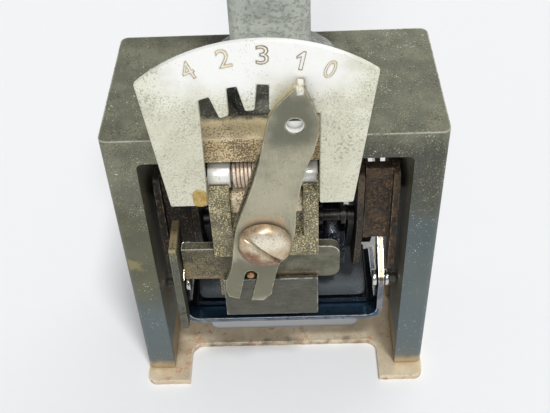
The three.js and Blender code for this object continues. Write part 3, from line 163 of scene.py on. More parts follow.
class NodeSheet:
    """The nodes of one material, added and joined step by step."""

    def __init__(self, name: str) -> None:
        """Starts an empty material.

        Args:
            name: the material's name.
        """
        self.material = bpy.data.materials.new(name)
        self.material.use_nodes = True
        self.tree = self.material.node_tree
        self.tree.nodes.clear()
        self.places = self.node("ShaderNodeTexCoord").outputs["Object"]

    def node(self, kind: str, fed: Mapping[str | int, object] | None = None,
             **settings: object) -> bpy.types.Node:
        """Adds a node.

        Args:
            kind: the node's type.
            fed: the number, colour or other node's output that goes into each of its inputs.
            settings: the node's own settings.

        Returns:
            The new node.
        """
        made = self.tree.nodes.new(kind)
        for setting, value in settings.items():
            setattr(made, setting, value)
        for entry, value in (fed or {}).items():
            if isinstance(value, Socket):
                self.tree.links.new(value, made.inputs[entry])
            else:
                made.inputs[entry].default_value = value
        return made

    def sum_of(self, operation: str, first: Value, second: Value) -> Socket:
        """Works out one sum of two values, such as SUBTRACT."""
        return self.node("ShaderNodeMath", {0: first, 1: second}, operation=operation).outputs[0]

    def plus(self, first: Value, second: Value) -> Socket:
        """Adds two values."""
        return self.sum_of("ADD", first, second)

    def times(self, first: Value, second: Value) -> Socket:
        """Multiplies two values."""
        return self.sum_of("MULTIPLY", first, second)

    def vector_sum(self, operation: str, first: object, second: object = (0, 0, 0),
                   result: str = "Vector") -> Socket:
        """Works out one sum of two vectors, such as LENGTH, and gives its Vector or its Value."""
        return self.node("ShaderNodeVectorMath", {0: first, 1: second}, operation=operation).outputs[result]

    def rise(self, value: Value, low: float, high: float) -> Socket:
        """Fades from 0 to 1 while a value goes from low to high."""
        return self.node("ShaderNodeMapRange", {"Value": value, "From Min": low, "From Max": high},
                         interpolation_type="SMOOTHSTEP", clamp=True).outputs["Result"]

    def mix(self, share: Value, first: object, second: object) -> Socket:
        """Lays a share of the second colour over the first."""
        return self.node("ShaderNodeMix", {0: share, 6: first, 7: second}, data_type="RGBA",
                         clamp_factor=True).outputs[2]

    def tint(self, colour: object, where: Value, strength: float, other: Colour) -> Socket:
        """Lays another colour over a colour where a mask says so."""
        return self.mix(self.times(where, strength), colour, screen(other))

    def noise(self, size: float, detail: float = 4.0, roughness: float = 0.55,
              stretch: Place = (1, 1, 1), shift: float = 0.0) -> Socket:
        """Adds a cloudy pattern.

        Args:
            size: the size of its largest clouds in millimetres.
            detail: how many finer layers it has.
            roughness: how strong the finer layers are.
            stretch: how much finer it is along each direction.
            shift: moves the pattern, so that two patterns differ.

        Returns:
            The pattern's value, about 0.3 to 0.7.
        """
        moved = self.node("ShaderNodeMapping", {
            "Vector": self.places, "Location": (shift, shift * 0.7, shift * 1.3), "Scale": stretch})
        return self.node("ShaderNodeTexNoise", {
            "Vector": moved.outputs["Vector"], "Scale": 1 / (size * MM), "Detail": detail,
            "Roughness": roughness}, noise_dimensions="3D").outputs[0]

    def near(self, zone: Zone) -> Socket:
        """Finds what lies in or near a zone.

        Args:
            zone: the zone.

        Returns:
            1 in the zone's box and 0 far from it.
        """
        low, high = spot(*zone.low), spot(*zone.high)
        offset = self.vector_sum("SUBTRACT", self.places, (low + high) / 2)
        beyond = self.vector_sum("SUBTRACT", self.vector_sum("ABSOLUTE", offset), (high - low) / 2)
        distance = self.vector_sum("LENGTH", self.vector_sum("MAXIMUM", beyond), result="Value")
        uneven = self.sum_of("SUBTRACT", self.noise(max(zone.soft, 1.0), shift=zone.low[2] * MM), 0.5)
        moved = self.plus(distance, self.times(uneven, zone.ragged * zone.soft * MM * 2))
        return self.rise(moved, zone.soft * MM, 0.0)

    def zoned(self, colour: object, zones: Iterable[Zone]) -> object:
        """Lays zones over a colour.

        Args:
            colour: the colour underneath.
            zones: the zones, from the lowest layer up.

        Returns:
            The colour with its zones.
        """
        for zone in zones:
            colour = self.tint(colour, self.near(zone), zone.strength, zone.colour)
        return colour

    def edges(self, width: float, faces: Place | None) -> Socket:
        """Finds a piece's edges and corners.

        Args:
            width: how far from an edge the result reaches, in millimetres.
            faces: the direction that the edges face, if not all of them are wanted; edges kept to those that
                face the light carry a painted highlight.

        Returns:
            1 on an edge and 0 on open faces.
        """
        rounded_off = self.node("ShaderNodeBevel", {"Radius": width * MM}, samples=4).outputs["Normal"]
        facing = self.node("ShaderNodeNewGeometry").outputs["Normal"]
        found = self.rise(self.vector_sum("DOT_PRODUCT", rounded_off, facing, "Value"), *EDGES_SHOW)
        if faces is None:
            return found
        towards = self.vector_sum("DOT_PRODUCT", rounded_off, faces, "Value")
        return self.times(found, self.rise(towards, *FACING_SHOWS))

    def hollows(self, reach: float) -> Socket:
        """Gives 1 deep in gaps up to reach millimetres wide, where grime gathers and shade falls, and 0 in
        the open.
        """
        occlusion = self.node("ShaderNodeAmbientOcclusion", {"Distance": reach * MM}, samples=4)
        return self.sum_of("SUBTRACT", 1.0, occlusion.outputs["AO"])

    def surface(self, colour: object, roughness: Value, metallic: Value, height: Value, relief: float,
                further: Mapping[str, float] | None = None) -> bpy.types.Material:
        """Ends the sheet with its surface shader.

        Args:
            colour: the base colour.
            roughness: the roughness.
            metallic: the share of bare metal.
            height: the pattern that raises and lowers the surface.
            relief: how high that pattern stands, in millimetres.
            further: further values that are the same all over, by input.

        Returns:
            The finished material.
        """
        bump = self.node("ShaderNodeBump", {"Distance": relief * MM, "Height": height})
        shader = self.node("ShaderNodeBsdfPrincipled", {
            "Base Color": colour, "Roughness": roughness, "Metallic": metallic,
            "Normal": bump.outputs["Normal"], **(further or {})})
        self.node("ShaderNodeOutputMaterial", {"Surface": shader.outputs["BSDF"]})
        return self.material


@dataclass(frozen=True)
class Specks:
    """Small spots of another colour: dirt, sand, bare points, pits, and on some finishes painted glints."""

    colour: Colour
    size: float
    share: float
    strength: float = 0.8
    height: float = 0.0
    zones: tuple[Zone, ...] = ()
    patch: float = 14
    crowding: float = 0.35
    zone_crowding: float = 0.1
    rarest: float = 0.86
    spread: float = 0.26
    fade: float = 0.05

    def add(self, sheet: NodeSheet, colour: object, shift: float) -> tuple[Socket, Socket]:
        """Lays the specks over a colour.

        Args:
            sheet: the material's nodes.
            colour: the colour underneath.
            shift: moves the pattern, so that two kinds of specks differ.

        Returns:
            The colour with its specks, and where they are.
        """
        fine = sheet.noise(self.size, detail=2.0, roughness=0.6, shift=shift)
        patchy = sheet.noise(self.size * self.patch, detail=3.0, shift=shift + 0.31)
        level = sheet.plus(fine, sheet.times(patchy, self.crowding))
        for zone in self.zones:
            level = sheet.plus(level, sheet.times(sheet.near(zone), zone.strength * self.zone_crowding))
        border = self.rarest - self.spread * self.share
        mask = sheet.times(sheet.rise(level, border, border + self.fade), self.strength)
        return sheet.mix(mask, colour, screen(self.colour)), mask


@dataclass(frozen=True)
class Metal:
    """A metal surface with its clouds, streaks, zones, rust, grime and painted shade in hollows, dust and
    painted light, specks, and worn edges with painted highlights.
    """

    name: str
    slot: Slot
    colour: Colour
    shade: Colour
    cloud: float = 5.0
    metallic: float = 0.5
    roughness: float = 0.5
    roughness_spread: float = 0.15
    grain: float = 0.5
    grain_height: float = 0.6
    relief: float = 0.03
    brush: Place | None = None
    brush_strength: float = 0.3
    brush_gain: float = 1.7
    brush_lift: float = 0.02
    streak: float = 0.9
    streak_height: float = 0.5
    specks: tuple[Specks, ...] = ()
    zones: tuple[Zone, ...] = ()
    rust: Colour | None = None
    rust_size: float = 3.0
    rust_share: float = 0.3
    rust_strength: float = 0.85
    rust_roughness: float = 0.2
    rust_height: float = 0.3
    rust_rarest: float = 0.66
    rust_spread: float = 0.26
    rust_fade: float = 0.09
    grime: Colour | None = None
    grime_and_shade_reach: float = 2.5
    grime_and_shade_strength: float = 0.8
    dust_and_painted_light: tuple[Zone, ...] = ()
    edge: Colour | None = None
    edge_width: float = 0.3
    edge_strength: float = 0.7
    edge_gaps: float = 0.48
    edge_fade: float = 0.1
    edge_patch: float = 1.4
    edge_highlight_faces: Place | None = None

    def make(self) -> bpy.types.Material:
        """Builds the material, layer over layer.

        Returns:
            The material.
        """
        sheet = NodeSheet(self.name)
        clouds = sheet.noise(self.cloud, detail=6.0, roughness=0.62)
        colour = sheet.mix(sheet.rise(clouds, *CLOUDS_SHOW), screen(self.shade), screen(self.colour))
        grain = sheet.noise(self.grain, detail=3.0, roughness=0.7, shift=0.13)
        height = sheet.times(grain, self.grain_height)
        if self.brush is not None:
            streaks = sheet.noise(self.streak, detail=5.0, roughness=0.75, stretch=self.brush, shift=0.57)
            light = (*(min(1.0, part * self.brush_gain + self.brush_lift)
                       for part in screen(self.colour)[:3]), 1.0)
            lit = sheet.times(sheet.rise(streaks, *STREAKS_SHOW), self.brush_strength)
            colour = sheet.mix(lit, colour, light)
            height = sheet.plus(height, sheet.times(streaks, self.streak_height))
        colour = sheet.zoned(colour, self.zones)
        smoothest = self.roughness - self.roughness_spread / 2
        roughness = sheet.plus(smoothest, sheet.times(clouds, self.roughness_spread))
        metallic: Value = self.metallic
        if self.rust is not None:
            wide = sheet.noise(self.rust_size, detail=5.0, roughness=0.7, shift=0.41)
            border = self.rust_rarest - self.rust_spread * self.rust_share
            rusty = sheet.rise(wide, border, border + self.rust_fade)
            colour = sheet.tint(colour, rusty, self.rust_strength, self.rust)
            roughness = sheet.plus(roughness, sheet.times(rusty, self.rust_roughness))
            metallic = sheet.times(sheet.sum_of("SUBTRACT", 1.0, rusty), self.metallic)
            height = sheet.plus(height, sheet.times(rusty, self.rust_height))
        # Grime and painted shade: the hollows mask darkens gaps and recesses, where dirt gathers and where
        # shade falls.
        if self.grime is not None:
            deep = sheet.rise(sheet.hollows(self.grime_and_shade_reach), *GRIME_AND_SHADE_SHOWS)
            colour = sheet.tint(colour, deep, self.grime_and_shade_strength, self.grime)
        # Dust and painted light: these zones lay real dust, and also painted shadow, painted highlight and
        # painted reflection.
        colour = sheet.zoned(colour, self.dust_and_painted_light)
        for count, kind in enumerate(self.specks):
            colour, mask = kind.add(sheet, colour, SPECKS_SHIFT + SPECKS_STEP * count)
            height = sheet.plus(height, sheet.times(mask, kind.height))
        # Worn edges and painted highlight: the edge colour marks wear, and a near-white edge colour, most of
        # all one kept to edges that face the light, paints a highlight along them.
        if self.edge is not None:
            uneven = sheet.noise(self.edge_patch, shift=0.77)
            broken = sheet.rise(uneven, self.edge_gaps - self.edge_fade, self.edge_gaps + self.edge_fade)
            worn = sheet.times(sheet.edges(self.edge_width, self.edge_highlight_faces), broken)
            colour = sheet.tint(colour, worn, self.edge_strength, self.edge)
        return sheet.surface(colour, roughness, metallic, height, self.relief)


@dataclass(frozen=True)
class Felt:
    """Felt soaked with ink: a soft nap with paler worn fibres."""

    name: str
    slot: Slot
    colour: Colour
    fibre: Colour
    sheen: float
    fibre_strength: float = 0.7
    roughness: float = 0.55
    roughness_spread: float = 0.4
    nap: float = 0.35
    patch: float = 5.0
    crowding: float = 0.5
    nap_height: float = 0.12

    def make(self) -> bpy.types.Material:
        """Builds the material.

        Returns:
            The material.
        """
        sheet = NodeSheet(self.name)
        nap = sheet.noise(self.nap, detail=5.0, roughness=0.8)
        worn = sheet.noise(self.patch, shift=0.3)
        fibres = sheet.rise(sheet.plus(nap, sheet.times(worn, self.crowding)), *FIBRES_SHOW)
        colour = sheet.tint(screen(self.colour), fibres, self.fibre_strength, self.fibre)
        roughness = sheet.plus(self.roughness, sheet.times(nap, self.roughness_spread))
        return sheet.surface(colour, roughness, 0.0, nap, self.nap_height, {"Sheen Weight": self.sheen})


@dataclass(frozen=True)
class Lacquer:
    """Turned wood under black lacquer, rubbed brown where the palm presses."""

    name: str
    slot: Slot
    colour: Colour
    rubbed: Colour
    palm: Zone
    ring: float = 2.2
    ring_stretch: Place = (0.35, 0.35, 4.0)
    ring_strength: float = 0.2
    scuff: float = 1.1
    roughness: float = 0.2
    roughness_spread: float = 0.35
    relief: float = 0.02
    coat: float = 0.4

    def make(self) -> bpy.types.Material:
        """Builds the material.

        Returns:
            The material.
        """
        sheet = NodeSheet(self.name)
        rings = sheet.noise(self.ring, roughness=0.6, stretch=self.ring_stretch)
        scuffs = sheet.noise(self.scuff, detail=6.0, roughness=0.8, shift=0.4)
        wear = sheet.times(sheet.near(self.palm), sheet.rise(scuffs, *SCUFFS_SHOW))
        base = sheet.tint(screen(self.colour), rings, self.ring_strength, self.rubbed)
        colour = sheet.tint(base, wear, self.palm.strength, self.rubbed)
        roughness = sheet.plus(self.roughness, sheet.times(scuffs, self.roughness_spread))
        return sheet.surface(colour, roughness, 0.0, sheet.plus(rings, scuffs), self.relief,
                             {"Coat Weight": self.coat})


Finish = Metal | Felt | Lacquer


@functools.cache
def tone(finish: Finish) -> bpy.types.Material:
    """Gives a finish's material, made once."""
    return finish.make()


SANDY = (174, 160, 122)
BROWN_RUST = (122, 84, 58)
DARK_GRIME_AND_SHADE = (24, 22, 18)
PALE_EDGE = (226, 222, 205)

CASTING = Metal(
    "olive_casting", Slot.STAND_CASTING, (128, 128, 108), (104, 106, 90), cloud=6.0, metallic=0.3,
    grain=0.35, relief=0.04,
    specks=(Specks((192, 184, 150), 0.26, 0.3, 0.4, 0.2, (
                Zone((-13, -1, 61), (9, 6, 67), None, 1.0, 1.5),
                Zone((-32, -1, 0), (32, 35, 38), None, 9, -2.4))),
            Specks((70, 54, 34), 0.3, 0.32, 0.75, -0.4, (
                Zone((-13, -1, 61), (9, 0.6, 66), None, 0.5, 1.3),
                Zone((-32, -1, 0), (32, 35, 38), None, 9, -2.4))),
            Specks((232, 230, 214), 0.4, 0.02)),
    zones=(Zone((-32, -1, 24), (-25, 1, 46), (84, 84, 62), 9.0, 0.65),
           Zone((12, -1, 40), (32, 1, 62), (62, 66, 60), 6.0, 0.8),
           # Painted reflection: a blue-grey cast on the right leg's lower part.
           Zone((25, -1, 16), (32, 1, 44), (86, 98, 100), 8.0, 0.85),
           # Painted shadow of the dial on the crown's top behind it.
           Zone((-13, 7, 66), (9, 35, 67), (44, 42, 34), 4.0, 0.85),
           # Painted reflection: a blue-grey cast along the lower legs.
           Zone((-32, -1, 6), (32, 35, 16), (92, 104, 108), 15.0, 0.9, 0.3),
           Zone((-32, -1, -1), (32, 35, 0.6), (190, 168, 132), 2.6, 0.9, 0.4),
           Zone((-25, 1.0, 14), (25, 35, 60), (104, 98, 80), 0.3, 0.85),
           Zone((-25, 3.0, -1), (25, 35, 5), (164, 140, 104), 1.8, 0.75),
           Zone((-29.7, -1, 34.4), (-28.9, 0.2, 35.6), (150, 140, 92), 1.9, 0.7, 1.2)),
    grime=DARK_GRIME_AND_SHADE, grime_and_shade_reach=3.0, grime_and_shade_strength=0.5,
    # Dust and painted light: the crown's top and front are sandy with dust and made brighter still to make up
    # for the dial's shade.
    dust_and_painted_light=(Zone((-13, -1, 66.2), (9, 4.6, 67.5), (255, 232, 184), 1.6, 1.0),
          Zone((-13, -1, 61), (9, 0.5, 65.9), (252, 222, 172), 0.5, 0.95),
          Zone((-13, -1, 61), (9, 0.5, 61.6), (250, 228, 184), 1.0, 0.85)),
    # Painted highlight and wear: a pale line on the edges that face upwards.
    edge=PALE_EDGE, edge_width=0.5, edge_strength=0.9, edge_gaps=0.4, edge_highlight_faces=(0, -0.1, 1))
TIN = Metal(
    "tan_tin", Slot.BASE_TIN, (238, 222, 192), (222, 202, 170), cloud=4.0, metallic=0.45, roughness=0.45,
    specks=(Specks((120, 92, 58), 0.5, 0.12, 0.5, -0.3), Specks((226, 218, 198), 0.4, 0.14, 0.6)),
    zones=(Zone((-17, -3, -2), (17, 5, 1), (106, 90, 76), 3.0, 0.9, 1.2),),
    rust=(176, 128, 96), rust_size=4.0, rust_share=0.36, grime=(82, 62, 42), grime_and_shade_strength=0.6,
    # Painted highlight and wear: a broken near-white line along the plate's edges.
    edge=(252, 249, 240), edge_width=0.45, edge_strength=0.9, edge_gaps=0.49)
NECK = Metal(
    "barrel_grey", Slot.BARREL_CASTING, (200, 205, 196), (172, 177, 170), cloud=3.0, metallic=0.15,
    roughness=0.62, grain=0.8, relief=0.16,
    specks=(Specks((108, 110, 102), 0.6, 0.45, 0.4, -0.8), Specks((206, 208, 200), 0.4, 0.35, 0.5, 0.3)),
    # Grime and painted shade round the barrel's foot, then painted shadow of the dial on the barrel's front
    # and on the flange behind the left notches.
    zones=(Zone((-13, 2, 66), (13, 31, 69), (58, 57, 53), 3.0, 0.6, 1.3),
           Zone((-9, -2, 70.6), (6, 7, 76.4), (30, 31, 32), 2.2, 0.8, 1.1),
           Zone((-13, 4, 66), (-4.4, 14, 70.6), (26, 27, 28), 1.8, 0.85, 1.1)),
    grime=(70, 62, 48), grime_and_shade_strength=0.6, edge=(212, 214, 206), edge_strength=0.4)
BRIGHT = Metal(
    "bright_plate", Slot.BRIGHT_STEEL, (222, 221, 215), (196, 194, 186), metallic=0.95, roughness=0.18,
    specks=(Specks((112, 96, 74), 0.5, 0.14, 0.6),), grime=(60, 48, 34), grime_and_shade_strength=0.7)
GRIMY = Metal(
    "speckled_steel", Slot.GRIMY_STEEL, (112, 103, 78), (86, 78, 58), cloud=3.0, roughness=0.52,
    specks=(Specks(SANDY, 0.36, 0.5, 0.75, 0.4), Specks((48, 42, 30), 0.6, 0.4, 0.65, -0.3)),
    rust=BROWN_RUST, rust_size=4.0, rust_share=0.2, grime=DARK_GRIME_AND_SHADE,
    edge=(206, 202, 184), edge_width=0.28, edge_strength=0.6)
BRASS = Metal(
    "old_brass", Slot.BRASS, (206, 160, 84), (168, 122, 62), cloud=2.0, metallic=0.8, roughness=0.35,
    specks=(Specks((96, 62, 34), 0.4, 0.25, 0.6),), grime=(54, 36, 20))
HANDLE_BLACK = Lacquer(
    "handle_black", Slot.HANDLE_LACQUER, (26, 20, 17), (84, 54, 34),
    Zone((-12, 5, 148), (12, 29, 160), None, 12.0, 0.6))
RUSTY = Metal(
    "brown_rusted_steel", Slot.RUSTY_STEEL, (92, 76, 58), (54, 44, 35), cloud=3.0, metallic=0.3,
    roughness=0.6, relief=0.05,
    specks=(Specks((150, 116, 78), 0.4, 0.35, 0.6, 0.3), Specks((30, 24, 20), 0.6, 0.5, 0.7, -0.4)),
    # Painted shade: the left slide's web made near black.
    zones=(Zone((-23, 5, 33), (-15, 12, 54), (22, 19, 16), 1.5, 0.95),),
    rust=(112, 80, 56), rust_size=2.5, rust_share=0.35,
    grime=DARK_GRIME_AND_SHADE, grime_and_shade_reach=5.0, grime_and_shade_strength=0.85,
    # Painted shade on the carriage's left side.
    dust_and_painted_light=(Zone((-28, -2, 22), (-13, 34, 66), (42, 39, 34), 1.0, 0.85),),
    edge=(216, 204, 176), edge_width=0.35, edge_strength=0.65, edge_gaps=0.52)
CHEEK = Metal(
    "cheek_steel", Slot.GRIMY_STEEL, (98, 84, 64), (64, 52, 40), cloud=3.0, metallic=0.35,
    specks=(Specks((148, 126, 88), 0.35, 0.35, 0.6, 0.3), Specks((36, 28, 20), 0.5, 0.5, 0.7, -0.3)),
    rust=BROWN_RUST, rust_size=4.0, rust_share=0.4, grime=DARK_GRIME_AND_SHADE, grime_and_shade_reach=4.0, grime_and_shade_strength=0.9,
    # Painted shade on the cheeks left and right of the bracket; paler at the top right.
    dust_and_painted_light=(Zone((-26, -3, 10), (-6, 34, 66), (30, 29, 30), 1.0),
          Zone((6, -3, 10), (26, 34, 43), (38, 35, 34), 5.0),
          Zone((6, -3, 56), (26, 34, 66), (190, 182, 160), 3.0, 0.6)),
    edge=(196, 186, 160), edge_width=0.35, edge_strength=0.5, edge_gaps=0.56)
# Ink-stained steel, darkened further as painted shade for parts deep inside the machine.
INNER = Metal(
    "inky_and_shaded_steel", Slot.GRIMY_STEEL, (44, 40, 36), (22, 21, 22), cloud=2.0, metallic=0.45, roughness=0.4,
    specks=(Specks((150, 138, 116), 0.3, 0.16, 0.6, 0.3), Specks((8, 8, 8), 0.5, 0.4, 0.7, -0.3)),
    grime=(8, 8, 8), grime_and_shade_strength=0.9, edge=(126, 118, 102), edge_width=0.22, edge_strength=0.5)
INKY = Metal(
    "ink_black_metal", Slot.INKY_METAL, (38, 41, 50), (18, 19, 25), cloud=2.0, metallic=0.55,
    roughness=0.32,
    # The pale bluish specks are painted glints.
    specks=(Specks((170, 176, 190), 0.3, 0.1, 0.7), Specks((6, 6, 8), 0.7, 0.4, 0.7, -0.4)),
    grime=(6, 6, 8), edge=(120, 126, 140), edge_width=0.2, edge_strength=0.45)
BRACKET = Metal(
    "bracket_steel", Slot.GRIMY_STEEL, (140, 134, 108), (106, 101, 78), cloud=3.0, metallic=0.3,
    relief=0.05,
    specks=(Specks((236, 220, 172), 0.3, 0.55, 0.85, 0.5), Specks((44, 38, 26), 0.3, 0.45, 0.8, -0.3)),
    grime=DARK_GRIME_AND_SHADE, grime_and_shade_strength=0.6,
    # Dust and painted light: the block under the coil is sandy and made brighter to make up for its shade.
    dust_and_painted_light=(Zone((-8.0, -2, 50.6), (4.4, 4, 54.8), (255, 236, 206), 0.4, 0.95),),
    edge=(214, 206, 176), edge_width=0.28, edge_strength=0.65)
LOWER = Metal(
    "lower_plate_steel", Slot.GRIMY_STEEL, (92, 91, 80), (72, 72, 62), metallic=0.4, roughness=0.42,
    brush=(0.25, 4.0, 5.0), specks=(Specks((40, 38, 30), 0.5, 0.2, 0.5),), grime=DARK_GRIME_AND_SHADE,
    # Painted highlight and wear: a bright broken line on the plate's edges.
    edge=(232, 232, 222), edge_width=0.35, edge_strength=0.9, edge_gaps=0.44)
# Painted highlight: a near-white, little metallic steel that stands for glare on the cross bar and for the
# lit floor of the lever's eye.
GLARE_WHITE_STEEL = Metal(
    "glare_white_steel", Slot.BRIGHT_STEEL, (250, 250, 246), (236, 235, 228), metallic=0.25, roughness=0.25,
    specks=(Specks((150, 130, 100), 0.4, 0.1, 0.5),), grime=(60, 48, 34), grime_and_shade_reach=1.0)
# Rust and painted highlight: the wire is made very pale for the glare on it, and its pale specks are painted
# glints.
COIL = Metal(
    "coil_rust_and_glare", Slot.RUSTY_STEEL, (250, 234, 212), (224, 200, 178), cloud=1.2, metallic=0.25,
    roughness=0.45,
    specks=(Specks((250, 232, 216), 0.3, 0.35, 0.7), Specks((110, 76, 58), 0.4, 0.25, 0.6)),
    rust=(176, 132, 108), rust_size=1.6, rust_share=0.2, grime=(70, 46, 36), grime_and_shade_reach=0.8,
    grime_and_shade_strength=0.7)
BAR_STEEL = Metal(
    "slide_bar_steel", Slot.GRIMY_STEEL, (112, 111, 94), (84, 82, 66), cloud=3.0, metallic=0.35,
    roughness=0.42, brush=(0.25, 4.0, 5.0), brush_strength=0.12,
    specks=(Specks((178, 158, 112), 0.24, 0.24, 0.5, 0.4, (
                Zone((-20, -3, 31), (-12.0, 1, 41), None),
                Zone((8, -3, 31), (13, 1, 42), None, 2.0, -1.0))),
            Specks((44, 38, 26), 0.28, 0.45, 0.6, -0.3, (
                Zone((8, -3, 31), (13, 1, 42), None, 2.0, -1.0),))),
    zones=(Zone((-19.5, -3, 31), (-9, 1, 39.5), (82, 78, 60), 3.0, 0.75),
           Zone((-19.5, -3, 32), (-18.4, 1, 36), (158, 138, 98), 1.6, 0.5, 1.4),
           Zone((-19.5, -3, 32), (-4, 1, 32.8), (140, 122, 88), 0.8, 0.5),
           Zone((-2, -3, 33), (7.4, 1, 33.6), (166, 148, 118), 0.6, 0.6)),
    grime=DARK_GRIME_AND_SHADE, grime_and_shade_strength=0.75,
    # Painted highlight and wear: a near-white line on the edges that face up and forwards.
    edge=(252, 250, 244), edge_width=0.4, edge_strength=1.0, edge_gaps=0.36, edge_highlight_faces=(0, -0.2, 1))
UPRIGHT = Metal(
    "upright_steel", Slot.GRIMY_STEEL, (96, 94, 82), (68, 66, 56), cloud=3.0,
    specks=(Specks(SANDY, 0.3, 0.26, 0.6, 0.4, (Zone((-22, -6, 42), (-18, 4, 45), None, 1.0, 1.2),)),
            Specks((36, 34, 28), 0.5, 0.4, 0.6, -0.3)),
    zones=(Zone((-22, -6, 43.6), (-18, 4, 45), (170, 152, 112), 0.5, 0.85),
           Zone((-22, -6, 20), (-18, -4.9, 43.4), (100, 103, 90), 0.3, 0.75)),
    grime=DARK_GRIME_AND_SHADE, grime_and_shade_strength=0.75, edge=(204, 198, 176), edge_width=0.25, edge_strength=0.6)
PIN_COPPER = Metal(
    "pin_copper", Slot.BRASS, (196, 152, 104), (150, 104, 66), cloud=1.0, metallic=0.4, roughness=0.4,
    specks=(Specks((226, 196, 160), 0.3, 0.2, 0.6),), grime=(40, 24, 16))
# Painted highlight: fewer specks over the dial's arch, where it shines white.
GLARE_ARCH = Zone((-15, -6, 83), (11, 0, 92), None, 5.0, -1.3)
DIAL_PLATE = Metal(
    "pale_dial", Slot.DIAL_STEEL, (234, 233, 214), (212, 210, 188), metallic=0.25, roughness=0.45,
    brush=(3.0, 3.0, 0.35), brush_strength=0.12, relief=0.02,
    specks=(Specks((150, 144, 122), 0.3, 0.55, 0.4, -0.2, (GLARE_ARCH,)),
            Specks((122, 116, 94), 0.5, 0.24, 0.45, -0.2, (GLARE_ARCH,))),
    zones=(Zone((-24, -6, 50), (-10, 0, 66), (210, 208, 186), 12.0, 0.6),
           Zone((8, -6, 50), (24, 0, 66), (210, 208, 186), 12.0, 0.6),
           # Painted highlight: the arch made near white.
           Zone((-13, -6, 84), (9, 0, 92), (253, 253, 250), 7.0, 0.95)),
    grime=(92, 82, 58), grime_and_shade_reach=1.2, grime_and_shade_strength=0.7, edge=(246, 244, 232), edge_strength=0.6)
SOLDER = Metal(
    "dull_solder", Slot.BRASS, (198, 172, 104), (170, 140, 76), cloud=1.2, metallic=0.3,
    specks=(Specks((120, 92, 50), 0.35, 0.3, 0.6),))
FIGURE_BROWN = Metal(
    "figure_brown", Slot.DIAL_STEEL, (176, 158, 128), (104, 76, 48), cloud=0.7, metallic=0.0,
    roughness=0.8, specks=(Specks((190, 172, 132), 0.3, 0.2, 0.5),))
FIGURE_PALE = Metal(
    "figure_pale", Slot.DIAL_STEEL, (216, 204, 168), (178, 158, 114), cloud=0.7, metallic=0.0,
    roughness=0.8, specks=(Specks((214, 202, 172), 0.3, 0.35, 0.6),))
LEVER = Metal(
    "lever_grey", Slot.LEVER_STEEL, (172, 167, 144), (148, 145, 124), cloud=7.0, metallic=0.35,
    roughness=0.42, brush=(4.0, 3.0, 0.5), brush_strength=0.18, relief=0.02,
    specks=(Specks((96, 92, 74), 0.3, 0.3, 0.4, -0.3),),
    zones=(Zone((2.5, -8, 73), (5, -6, 79), (98, 99, 84), 5.5, 0.85),
           Zone((-3.0, -8, 56), (0.5, -6, 62), (186, 180, 158), 4.0, 0.5),
           Zone((-10, -8, 34), (4, -6, 42), (112, 111, 92)),
           Zone((-4.8, -8, 44), (0.3, -6, 53.2), (204, 178, 148), 2.0, 0.75, 0.9)),
    grime=(52, 46, 34), grime_and_shade_reach=1.5, grime_and_shade_strength=0.6,
    dust_and_painted_light=(Zone((-6, -6.9, 72), (4.3, -5.6, 82), (206, 186, 132), 0.12, 0.8, 0.0),
          # Painted highlight on the lever's tip.
          Zone((4.3, -10, 81.0), (5.1, -5, 83), (244, 240, 226), 0.3, 0.8)),
    edge=(220, 206, 168), edge_width=0.4, edge_strength=0.75, edge_gaps=0.5)
EYE_STEEL = dataclasses.replace(
    GLARE_WHITE_STEEL, name="eye_steel",
    # Painted shadow: a dark crescent across the top of the eye.
    dust_and_painted_light=(Zone((0, -7.2, 75.0), (8, -5.5, 78), (22, 22, 20), 0.12, 0.95, 0.2),))
SCREW = Metal(
    "screw_brown", Slot.SCREW_STEEL, (204, 188, 158), (170, 144, 114), cloud=2.5, metallic=0.55,
    roughness=0.36,
    specks=(Specks((206, 192, 164), 0.36, 0.4, 0.5), Specks((132, 92, 66), 0.3, 0.4, 0.5, -0.3)),
    zones=(Zone((-7, -12, 44), (-4.4, -6, 48.0), (122, 76, 52), 1.6, 0.8),
           Zone((-4.4, -12, 43), (-0.5, -6, 45.8), (122, 76, 52), 1.6, 0.8),
           # Painted highlight on the top of the dome.
           Zone((-3.6, -12, 50), (0.6, -10, 51.5), (246, 240, 222), 2.0, 0.75)),
    grime=(44, 26, 18), grime_and_shade_reach=1.0, grime_and_shade_strength=0.9, edge=(226, 200, 174))
BAIL_CHROME = Metal(
    "bail_chrome", Slot.BRIGHT_STEEL, (140, 145, 152), (98, 103, 111), cloud=4.0, metallic=0.9,
    roughness=0.2,
    specks=(Specks((16, 18, 24), 0.6, 0.25, 0.6),),
    zones=(Zone((-24, 3, 23.5), (24, 34, 44), (140, 124, 96), 2.0),),
    grime=(16, 16, 20), grime_and_shade_reach=2.0, grime_and_shade_strength=0.6,
    # Painted reflection: blue tints on the tray's front and the bail's front lip.
    dust_and_painted_light=(Zone((-21, 2, 10.9), (21, 9, 13), (52, 86, 110), 0.4),
          Zone((-21, 2, 8.5), (21, 3.6, 10.6), (24, 40, 58), 0.4)),
    # Painted highlight and wear: a white line on the edges that face up and forwards.
    edge=(250, 250, 251), edge_width=0.5, edge_strength=1.0, edge_gaps=0.4, edge_highlight_faces=(0, -0.3, 1))
# The felt is ink black; its grey-blue colour is a painted sheen of the shiny ink.
PAD_FELT = Felt("ink_felt", Slot.PAD_FELT, (70, 76, 80), (126, 132, 134), 0.12)


